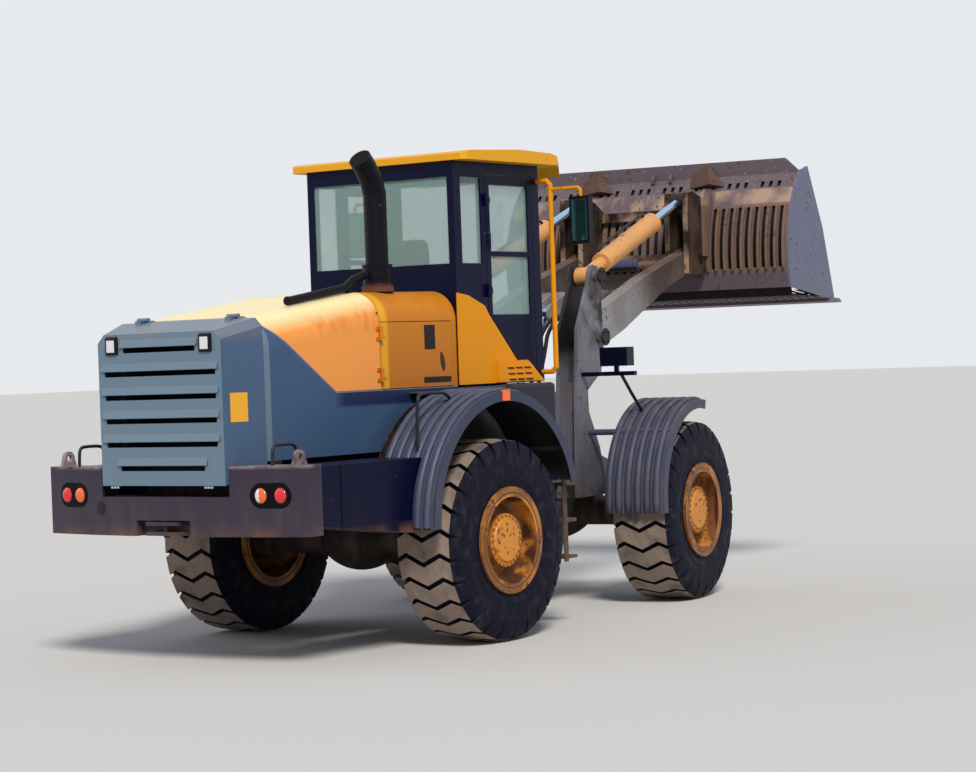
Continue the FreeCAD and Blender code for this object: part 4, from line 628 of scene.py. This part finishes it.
for end, body, placing, middle_y, middle_z, radius, foot, last in FENDERS:
    for side, way in (("right", 1), ("left", -1)):
        beads = bmesh.new()
        for number in range(6):
            rows = []
            for step in range(-1, 25):
                turn = math.radians(180 - (180 - last) * max(step, 0) / 24)
                drop = foot if step < 0 else 0
                rows.append([beads.verts.new(placing @ Vector((
                    way * (0.8975 + 0.084 * number + across_it), middle_y + (radius + rise) * math.cos(turn),
                    middle_z + (radius + rise) * math.sin(turn) - drop))) for across_it, rise in BEAD])
            for near, far in zip(rows, rows[1:]):
                for k in range(6):
                    beads.faces.new((near[k], near[(k + 1) % 6], far[(k + 1) % 6], far[k]))
            beads.faces.new(rows[0])
            beads.faces.new(rows[-1][::-1])
        finish = rear_fender_paint if end == "rear" else front_fender_paint
        piece(f"{end}_{side}_fender_beads", body, finish, beads, True)
for side, way in (("right", 1), ("left", -1)):
    arch = [(180 - 13 * step, 0.905) for step in range(13)] + [(15, 0.905)]
    rim_line = [rear(way * 1.370, -1.48 - 0.905, 0.92)] + [
        rear(way * 1.370, -1.48 + reach * math.cos(math.radians(turn)), 0.91 + reach * math.sin(math.radians(turn)))
        for turn, reach in arch]
    pipe(f"{side}_fender_lip", "rear_frame", lip_paint, rim_line, 0.02)
    wall, deck = bmesh.new(), bmesh.new()
    under = [(-1.48 + 0.92 * math.cos(math.radians(turn)), 0.91 + 0.92 * math.sin(math.radians(turn)))
             for turn in range(165, 90, -10)] + [(-0.8, 1.838), (-0.72, 1.5), (-0.63, 1.2)]
    prism(wall, under, way * 0.01, rest @ Matrix.Translation((way * 0.79, 0, 0)))
    prism(wall, [(-1.62, 1.45), (-1.62, 1.895), (-0.42, 1.895), (-0.42, 1.45)], way * 0.01,
          rest @ Matrix.Translation((way * 0.655, 0, 0)))
    piece(f"{side}_arch_wall", "rear_frame", frame_paint, wall)
    low, high = sorted((way * 0.704, way * 0.868))
    slab(deck, (low, -1.75, 1.838), (high, -0.78, 1.85))
    for number in range(20):
        slab(deck, (high - 0.02, -1.33 + 0.03 * number, 1.848), (high, -1.31 + 0.03 * number, 1.868))
    piece(f"{side}_fender_deck", "rear_frame", rear_fender_paint, deck, ease=0.003)
marker = Finish("marker_orange", (0.95, 0.16, 0.01), 0.25, coat_weight=0.5)
for side, way in (("right", 1), ("left", -1)):
    lamp = bmesh.new()
    slab(lamp, (way * 1.374, -1.53, 1.765), (way * 1.398, -1.44, 1.845))
    piece(f"{side}_marker_lamp", "rear_frame", marker, lamp, ease=0.004)
    pipe(f"{side}_fender_bar", "rear_frame", black_steel, [
        rear(way * 1.17, -2.29, 1.46), rear(way * 1.17, -2.28, 1.77), rear(way * 1.17, -2.26, 1.835),
        rear(way * 1.15, -2.18, 1.848), rear(way * 1.13, -1.95, 1.848), rear(way * 1.12, -1.86, 1.84),
        rear(way * 1.12, -1.80, 1.79)], 0.013)


# Ladders, steps and handrails: welded steel, the rungs worn brown by boots, the rails yellow.
# A closed tool box in black steel hangs behind each ladder, under the cab's floor.
step_paint = worn_paint("step_paint", (0.06, 0.035, 0.028), dust=0.6, chips=0.8, roughness=0.75)
coat(step_paint, "ladders", ease=0.002)
coat(yellow_paint, "handrails")
for side, way in (("right", 1), ("left", -1)):
    tools = bmesh.new()
    low, high = sorted((way * 0.47, way * 0.86))
    slab(tools, (low, -0.64, 1.34), (high, -0.02, 1.872))
    piece(f"{side}_tool_box", "rear_frame", black_steel, tools, ease=0.03)


# Cab: a navy steel frame with rubber-sealed tinted panes, a yellow roof with a deep visor,
# two doors with black handles, and mirrors on the grab rails.
cab_paint = worn_paint("cab_paint", (0.0015, 0.003, 0.024), dust=0.04, chips=0.04, roughness=0.3, gloss=0.12)
coat(cab_paint, "cab_frame", "cab_door_right", "cab_door_left", ease=0.005)
roof_paint = worn_paint("roof_paint", (0.78, 0.37, 0.015), dust=0.08, chips=0.06, roughness=0.4, gloss=0.15)
coat(roof_paint, "roof", ease=0.012)
glass = Finish("tinted_glass", (0.36, 0.55, 0.53), 0.03, alpha=0.34)
coat(glass, "cab_glass", "door_glass_right", "door_glass_left")
coat(black_plastic, "mirrors", ease=0.018)
mirror_glass = Finish("mirror_glass", (0.05, 0.13, 0.14), 0.06, metallic=0.85)
for side, way in (("right", 1), ("left", -1)):
    pane = bmesh.new()
    low, high = sorted((way * 1.055, way * 1.195))
    slab(pane, (low, -0.0145, 2.975), (high, -0.009, 3.30))
    piece(f"{side}_mirror_pane", "rear_frame", mirror_glass, pane, ease=0.004)
    handle = bmesh.new()
    low, high = sorted((way * 0.712, way * 0.745))
    slab(handle, (low, -0.675, 2.93), (high, -0.655, 3.05))
    piece(f"{side}_door_handle", f"{side}_cab_door", chrome_trim, handle, ease=0.004)
pipe("aerial", "rear_frame", black_plastic, [
    rear(0.62, -0.35, 3.66), rear(0.6, -0.33, 3.685), rear(0.5, -0.3, 3.69)], 0.003)
coat(black_plastic, "steering_column")


# Seat: two foam cushions under ribbed black cloth, on a stand that is closed in by a rubber
# bellows. Three sewn channels run along each cushion.
cloth = Finish("seat_cloth", (0.022, 0.022, 0.027), 0.9, 0.15)
weave = cloth.noise(60, 3).rise(0.4, 0.7)
cloth.feed("Base Color", cloth.mix(weave * 0.5, cloth.colour, (0.05, 0.048, 0.05, 1)))
cloth.bump(cloth.noise(240, 2), 0.001, 0.5)
CUSHION_CUTS = 39
CHANNELS = (-0.45, 0, 0.45)


def cushion(name, half, place):
    """A crowned cushion with rounded edges, sides that pull in, and sewn channels on top."""
    mesh = bmesh.new()
    bmesh.ops.create_cube(mesh, size=2)
    bmesh.ops.subdivide_edges(mesh, edges=mesh.edges, cuts=CUSHION_CUTS, use_grid_fill=True)
    for vert in mesh.verts:
        u, v, w = vert.co / sum(abs(value) ** 7 for value in vert.co) ** (1 / 7)
        crown = max(0, 1 - u * u) * max(0, 1 - v * v)
        sewn = sum(math.exp(-((u - channel) / 0.035) ** 2) for channel in CHANNELS) * min(1, crown * 3)
        if w > 0:
            w *= 0.76 + 0.24 * crown - 0.13 * sewn
        u, v = u * (0.965 + 0.035 * v * v), v * (0.965 + 0.035 * u * u)
        vert.co = place @ Vector((u * half[0], v * half[1], w * half[2]))
    made = piece(name, "rear_frame", cloth, mesh, True)
    return made


upright = Matrix.Rotation(math.radians(90), 4, "X")
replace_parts(cushion("seat_cushion", (0.26, 0.25, 0.07), rest @ Matrix.Translation((0, -0.51, 2.37))), "seat")
cushion("seat_back", (0.25, 0.325, 0.06), rest @ Matrix.Translation((0, -0.84, 2.705))
        @ Matrix.Rotation(math.radians(180), 4, "Z") @ upright)
stand = bmesh.new()
for fold in range(6):
    z = 1.925 + 0.0625 * fold
    out = 0.012
    outline = [(-0.74 + out, z), (-0.74, z + 0.031), (-0.74 + out, z + 0.0625),
               (-0.32 - out, z + 0.0625), (-0.32, z + 0.031), (-0.32 - out, z)]
    prism(stand, outline, 0.36, rest @ Matrix.Translation((-0.18, 0, 0)))
slab(stand, (-0.06, -0.86, 2.32), (0.06, -0.70, 2.40))
piece("seat_stand", "rear_frame", black_plastic, stand, ease=0.004)


# Front frame: hinge lugs, and the two-plate towers that carry the boom, grey-blue and streaked
# with black grease round their pins, with painted shade near black between the plates where
# the boom runs. Caps with bolts close the ends of the pins,
# and bent steel pipes carry the oil up each tower.
def tower_colours(finish):
    """Grey plates, darker lower down and streaked brown, with black grease round the pins, blotched black near the
    foot, and painted shade between the plates where the boom runs.
    """
    x, y, z = (finish.along(letter, turned) for letter in "xyz")
    blots = finish.noise(5, 5).rise(0.4, 0.56)
    pins = 1 - ((y - 1.14) ** 2 + (z - 2.45) ** 2).math("SQRT").rise(0.12, 0.45)
    # Painted shade: the inner faces between the plates, where the boom runs, are painted near black.
    painted_lane_shade = (1 - abs(x).rise(0.592, 0.597)) * z.rise(1.95, 2.12) * y.rise(0.6, 0.65)
    foot = (1 - z.rise(0.8, 1.3)) * 0.8
    grey = finish.mix(z.rise(1.2, 2.1), (0.085, 0.095, 0.135, 1), (0.19, 0.195, 0.235, 1))
    streaks = finish.noise(8, 5, (1, 1, 0.2)).rise(0.5, 0.7)
    grey = finish.mix(streaks * 0.55, grey, (0.12, 0.065, 0.045, 1))
    grease_and_painted_shade = ((pins + foot) * blots + painted_lane_shade).held()
    return finish.mix(grease_and_painted_shade * 0.95, grey, (0.004, 0.0035, 0.004, 1))


tower_paint = worn_paint("tower_paint", (0.12, 0.125, 0.16), dust=0.45, chips=0.6, roughness=0.5, base=tower_colours)
coat(tower_paint, "front_chassis", ease=0.004)
caps = bmesh.new()
for way in (1, -1):
    for y, z in ((1.16, 2.22), (1.12, 2.73)):
        plate = turned @ Matrix.Translation((way * 0.692, y, z))
        prism(caps, ring_of(24, 0.075), way * 0.012, plate, 0.96)
        for number in range(4):
            turn = math.pi * (number / 2 + 0.25)
            seat = plate @ Matrix.Translation((way * 0.012, 0.055 * math.cos(turn), 0.055 * math.sin(turn)))
            prism(caps, ring_of(6, 0.011), way * 0.009, seat, 0.9)
greasy_steel = worn_paint("greasy_steel", (0.012, 0.010, 0.011), dust=0.25, chips=0.7, roughness=0.45, gloss=0.2)
piece("tower_pin_caps", "front_frame", greasy_steel, caps)
for side, way in (("right", 1), ("left", -1)):
    for number in range(2):
        x, low = way * (0.31 - 0.05 * number), 0.04 * number
        pipe(f"{side}_tower_pipe_{number}", "front_frame", greasy_steel, [
            front(x, 0.60, 1.05), front(x, 0.52 - low, 1.35), front(x, 0.58 - low, 1.75),
            front(x, 0.78 - low, 2.1), front(x, 0.86, 2.32), front(x + way * 0.1, 0.93, 2.42)], 0.017)


# Headlamps: dark rounded housings on plate arms, glass to the front.
lamp_navy = worn_paint("lamp_navy", (0.002, 0.003, 0.014), dust=0.1, chips=0.2, roughness=0.35, gloss=0.15)
coat(lamp_navy, "headlamps", ease=0.03)
for side, way in (("right", 1), ("left", -1)):
    pane = bmesh.new()
    low, high = sorted((way * 0.845, way * 1.04))
    slab(pane, (low, 0.899, 2.0), (high, 0.906, 2.105), turned)
    piece(f"{side}_headlamp_glass", "front_frame", lamp_glass, pane, ease=0.004)
    pipe(f"{side}_fender_stay", "front_frame", black_steel, [
        front(way * 0.98, 0.83, 1.90), front(way * 1.0, 0.98, 1.74), front(way * 1.02, 1.12, 1.60)], 0.014, 2)


# Boom, coupler and cylinders: grey box arms, browned where they meet the coupler, tan posts
# rubbed bare, a dark coupler partly in painted shade, faded orange barrels and bright rods
# whose chrome is tinted blue as a painted reflection of the sky.
def boom_colours(finish):
    """Light grey, browned and rubbed bare towards the coupler."""
    y = finish.along("y", turned)
    bare = finish.noise(2.5, 5).rise(0.35, 0.6)
    near = finish.mix(bare * 0.5, (0.30, 0.30, 0.32, 1), (0.15, 0.11, 0.095, 1))
    return finish.mix(y.rise(1.9, 2.45) * (bare * 0.3 + 0.7), near, (0.062, 0.038, 0.032, 1))


def coupler_colours(finish):
    """Dark dirt and painted shade, rubbed to tan in patches, while the faces that look sideways stay dark as painted
    shade.
    """
    # Painted shade: the tan wear is held off the faces that look sideways, which stay dark.
    bare = finish.noise(4, 6).rise(0.4, 0.62) * (1 - abs(finish.facing("x")).rise(0.5, 0.8) * 0.85)
    return finish.mix(bare, finish.colour, (0.36, 0.235, 0.16, 1))


boom_paint = worn_paint("boom_paint", (0.26, 0.25, 0.26), dust=0.3, chips=0.65, roughness=0.55, low=1.0, high=2.4,
                        base=boom_colours)
coat(boom_paint, "boom", ease=0.006)
coupler_paint = worn_paint("coupler_paint", (0.016, 0.009, 0.009), dust=0.12, chips=0.9, roughness=0.65,
                           low=2.0, high=4.0, base=coupler_colours, gloss=0.15)
coat(coupler_paint, "coupler", ease=0.004)


def barrel_colours(finish):
    """Faded orange with scraped patches."""
    scraped = finish.noise(3, 6, (1, 1, 1)).rise(0.5, 0.7)
    return finish.mix(scraped * 0.45, finish.colour, (0.42, 0.25, 0.15, 1))


cylinder_paint = worn_paint("cylinder_paint", (0.70, 0.33, 0.115), dust=0.12, chips=0.5, roughness=0.42,
                            base=barrel_colours, gloss=0.2)
coat(cylinder_paint, "tilt_barrels", "lift_barrels")
coat(greasy_steel, "steer_barrel_right", "steer_barrel_left", "tip_pins")
# The rods' chrome is tinted light blue: a painted reflection of the sky.
chrome_sky_reflection = Finish("chrome_rod_painted_sky", (0.42, 0.60, 0.85), 0.14, metallic=1.0)
coat(chrome_sky_reflection, "lift_rods", "steer_rod_right", "steer_rod_left")
# Tilt rods: the same sky-blue painted reflection on the rod, and a dark greasy eye.
rod_and_eye = Finish("rod_and_eye", (0.42, 0.60, 0.85), 0.14)
eye_reach = [(rod_and_eye.along(letter, turned) - value) ** 2 for letter, value in (("y", 3.22), ("z", 3.44))]
bright = (eye_reach[0] + eye_reach[1]).math("SQRT").rise(0.10, 0.105)
rod_and_eye.feed("Base Color", rod_and_eye.mix(bright, (0.015, 0.011, 0.010, 1), rod_and_eye.colour))
rod_and_eye.feed("Metallic", bright)
rod_and_eye.feed("Roughness", 0.6 - bright * 0.46)
coat(rod_and_eye, "tilt_rods")
BASE_Y, BASE_Z, RISE = 1.12, 2.73, math.atan2(0.71, 2.10)
for side, way in (("right", 1), ("left", -1)):
    gland = bmesh.new()
    line = turned @ Matrix.Translation((way * 0.53, BASE_Y, BASE_Z)) @ Matrix.Rotation(RISE, 4, "X")
    ahead = line @ Matrix.Rotation(math.radians(90), 4, "Z")
    lathe(gland, [(1.495, 0.085), (1.495, 0.0905), (1.547, 0.0905), (1.551, 0.085), (1.551, 0.0415)], ahead, 48)
    for number in range(8):
        turn = 2 * math.pi * number / 8 + 0.2
        prism(gland, ring_of(6, 0.010), 0.009, ahead @ Matrix.Translation(
            (1.549, 0.068 * math.cos(turn), 0.068 * math.sin(turn))), 0.9)
    piece(f"{side}_tilt_gland", "tilt_barrel_pair", cylinder_paint, gland, ease=0.003)
    feed_line = [(0.44, 0.085), (0.44, 0.112), (0.52, 0.118), (1.36, 0.118), (1.44, 0.112), (1.45, 0.085)]
    pipe(f"{side}_tilt_feed_pipe", "tilt_barrel_pair", greasy_steel, [
        line @ Vector((-way * 0.03, far, out)) for far, out in feed_line], 0.012)


# Bucket: grey-violet steel plate, its slotted back worn tan and rusty by stone, the side
# plates smoother. Rusty deflector boxes and two small hooks stand behind the spill plate. A
# near-black sheet inside the back is painted shade, seen through the slots.
def bucket_colours(finish):
    """Grey-violet plates, tan bars between the slots and a tan rubbed rail."""
    x, y, z = (finish.along(letter, turned) for letter in "xyz")
    inner = 1 - abs(x).rise(1.415, 1.425)
    tip = 2.92
    bars = inner * z.within(tip - 0.13, tip + 0.47, 0.03) * (1 - y.rise(3.95, 4.05))
    stains = finish.noise(5, 6, (1, 1, 0.3)).rise(0.42, 0.62)
    rail = inner * z.within(tip + 0.49, tip + 0.62, 0.01) * (1 - y.rise(4.3, 4.4))
    body = finish.mix(inner, (0.125, 0.135, 0.215, 1), (0.115, 0.088, 0.105, 1))
    body = finish.mix(bars * (stains * 0.6 + 0.35), body, (0.20, 0.115, 0.075, 1))
    body = finish.mix(rail * stains * 0.7, body, (0.5, 0.33, 0.22, 1))
    chips = finish.noise(42, 3).rise(0.66, 0.7) * z.rise(tip + 0.6, tip + 0.66)
    return finish.mix(chips * 0.7, body, (0.45, 0.42, 0.42, 1))


bucket_steel = worn_paint("bucket_steel", (0.12, 0.10, 0.12), dust=0.25, chips=0.6, roughness=0.5, low=2.2, high=3.0,
                          base=bucket_colours)
coat(bucket_steel, "bucket", ease=0.003)
TIP_Y, TIP_Z, CURVE_Y, CURVE_Z, CURVE = 3.40, 2.92, 1.19, -0.015, 1.015


def back_spot(angle, depth):
    """(y, z) on the bucket's curved back, at a depth inside its outer face."""
    reach = CURVE - depth
    return (TIP_Y + CURVE_Y + reach * math.cos(math.radians(angle)),
            TIP_Z + CURVE_Z + reach * math.sin(math.radians(angle)))


# A near-black sheet inside the bucket's back, behind the slotted bars: painted shade for the shaded inside seen through
# the slots.
shade_liner_steel = worn_paint("shade_liner_steel", (0.010, 0.008, 0.008), dust=0.1, chips=0.3, roughness=0.8)
shade_liner = bmesh.new()
floor_line = [(TIP_Y + 0.30, TIP_Z - 0.365), (TIP_Y + 1.30, TIP_Z - 0.372)]
inner_line = [back_spot(turn, 0.045) for turn in range(130, 196, 6)] + floor_line
outer_line = [back_spot(turn, 0.037) for turn in range(130, 196, 6)] + [(y, z - 0.008) for y, z in floor_line]
for number in range(len(inner_line) - 1):
    section = [inner_line[number], inner_line[number + 1], outer_line[number + 1], outer_line[number]]
    prism(shade_liner, section, 2.84, turned @ Matrix.Translation((-1.42, 0, 0)))
piece("bucket_shade_liner", "bucket_and_coupler", shade_liner_steel, shade_liner)

rib_steel = worn_paint("rib_steel", (0.15, 0.085, 0.06), dust=0.5, chips=0.9, roughness=0.7, low=2.6, high=3.9)
ribs = bmesh.new()
for number in range(35):
    x = (number - 17) * 0.082
    if 0.63 < abs(x) < 1.40:
        bend = [back_spot(turn, 0.004) for turn in range(152, 188, 3)]
        crest = [back_spot(turn, -0.03) for turn in range(153, 187, 3)]
        prism(ribs, bend + crest[::-1], 0.026, turned @ Matrix.Translation((x - 0.013, 0, 0)))
piece("bucket_ribs", "bucket_and_coupler", rib_steel, ribs, ease=0.003)
deflectors = bmesh.new()
for x in (0.565, -0.565):
    corners = [(-0.19, 3.838, 3.585), (-0.205, 3.943, 3.72), (-0.03, 3.943, 3.822), (0.05, 3.76, 3.615),
               (0.175, 3.838, 3.585)]
    verts = [deflectors.verts.new(turned @ Vector((x + across_it, y, z))) for across_it, y, z in corners]
    for face in ((0, 1, 2, 3), (2, 4, 3), (0, 3, 4), (0, 4, 2, 1)):
        deflectors.faces.new([verts[number] for number in face])
piece("bucket_deflectors", "bucket_and_coupler", rusty, deflectors, ease=0.006)
hooks = bmesh.new()
for x in (-0.02, 0.16):
    outline = [(3.946, 3.635), (3.946, 3.745), (3.90, 3.74), (3.865, 3.70), (3.87, 3.66), (3.895, 3.65), (3.90, 3.69),
               (3.925, 3.71), (3.93, 3.635)]
    prism(hooks, outline, 0.024, turned @ Matrix.Translation((x, 0, 0)))
piece("bucket_hooks", "bucket_and_coupler", bucket_steel, hooks, ease=0.002)


# Coupler lock: a hydraulic cylinder that lies across the coupler and pushes its two pins out
# into the bucket's ears.
lock = turned @ Matrix.Translation((0, 3.492, 2.885))
barrel, bars = bmesh.new(), bmesh.new()
lathe(barrel, [(-0.33, 0.001), (-0.33, 0.05), (-0.30, 0.056), (-0.06, 0.056), (-0.05, 0.062), (-0.01, 0.062), (-0.01, 0.001)],
      lock, 40)
lathe(bars, [(-0.41, 0.001), (-0.41, 0.036), (0.41, 0.036), (0.41, 0.001)], lock, 32)
piece("lock_barrel", "bucket_and_coupler", rear_fender_paint, barrel, ease=0.002)
piece("lock_bars", "bucket_and_coupler", rib_steel, bars, True)


# Studio: a pale floor, a soft key lamp and an even pale surround, and the camera at the
# photograph's place.
floor_mesh = bmesh.new()
bmesh.ops.create_grid(floor_mesh, x_segments=1, y_segments=1, size=150)
floor_data = bpy.data.meshes.new("floor")
floor_mesh.to_mesh(floor_data)
floor_mesh.free()
floor = bpy.data.objects.new("floor", floor_data)
bpy.context.scene.collection.objects.link(floor)
floor_data.materials.append(Finish("floor_finish", (0.64, 0.625, 0.61), 0.95, 0.1).material)

world = bpy.data.worlds.new("studio")
world.use_nodes = True
tree = world.node_tree
surround = tree.nodes["Background"]
surround.inputs["Color"].default_value = (0.80, 0.88, 1.0, 1)
surround.inputs["Strength"].default_value = 0.38
backdrop = tree.nodes.new("ShaderNodeBackground")
backdrop.inputs["Color"].default_value = (0.80, 0.82, 0.85, 1)
ray = tree.nodes.new("ShaderNodeLightPath")
seen = ray.outputs["Is Camera Ray"]
for kind in ("Is Glossy Ray", "Is Transmission Ray"):
    greater = tree.nodes.new("ShaderNodeMath")
    greater.operation = "MAXIMUM"
    tree.links.new(seen, greater.inputs[0])
    tree.links.new(ray.outputs[kind], greater.inputs[1])
    seen = greater.outputs[0]
either = tree.nodes.new("ShaderNodeMixShader")
tree.links.new(seen, either.inputs[0])
tree.links.new(surround.outputs[0], either.inputs[1])
tree.links.new(backdrop.outputs[0], either.inputs[2])
tree.links.new(either.outputs[0], tree.nodes["World Output"].inputs["Surface"])
bpy.context.scene.world = world
LAMPS = [
    # direction it shines from, strength, softness in degrees, colour
    ((0.62, -0.62, 0.85), 2.9, 14, (1.0, 0.96, 0.90)),
    ((-0.9, -0.4, 0.5), 0.4, 45, (0.92, 0.95, 1.0)),
]
for number, (source, strength, softness, tint) in enumerate(LAMPS):
    lamp = bpy.data.lights.new(f"soft_lamp_{number}", "SUN")
    lamp.energy, lamp.angle, lamp.color = strength, math.radians(softness), tint
    holder = bpy.data.objects.new(lamp.name, lamp)
    holder.rotation_euler = Vector(source).to_track_quat("Z", "Y").to_euler()
    bpy.context.scene.collection.objects.link(holder)

YAW, PITCH, ROLL = math.radians(35.192), math.radians(-0.74), math.radians(-2.053)
IMAGE_WIDTH, FOCAL_PIXELS, SENSOR = 976, 2533, 36
camera = bpy.data.cameras.new("photo_camera")
camera.sensor_fit, camera.sensor_width = "HORIZONTAL", SENSOR
camera.lens = FOCAL_PIXELS / IMAGE_WIDTH * SENSOR
camera.clip_end = 400
camera_holder = bpy.data.objects.new("photo_camera", camera)
ahead = Vector((-math.sin(YAW) * math.cos(PITCH), math.cos(YAW) * math.cos(PITCH), math.sin(PITCH)))
level = Vector((math.cos(YAW), math.sin(YAW), 0))
upright = level.cross(ahead)
right = math.cos(ROLL) * level + math.sin(ROLL) * upright
up = -math.sin(ROLL) * level + math.cos(ROLL) * upright
camera_holder.matrix_world = Matrix.Translation(rear(11.958, -16.694, 2.117)) @ Matrix(
    (right, up, -ahead)).transposed().to_4x4()
bpy.context.scene.collection.objects.link(camera_holder)
bpy.context.scene.camera = camera_holder
bpy.context.scene.view_settings.view_transform = "Standard"
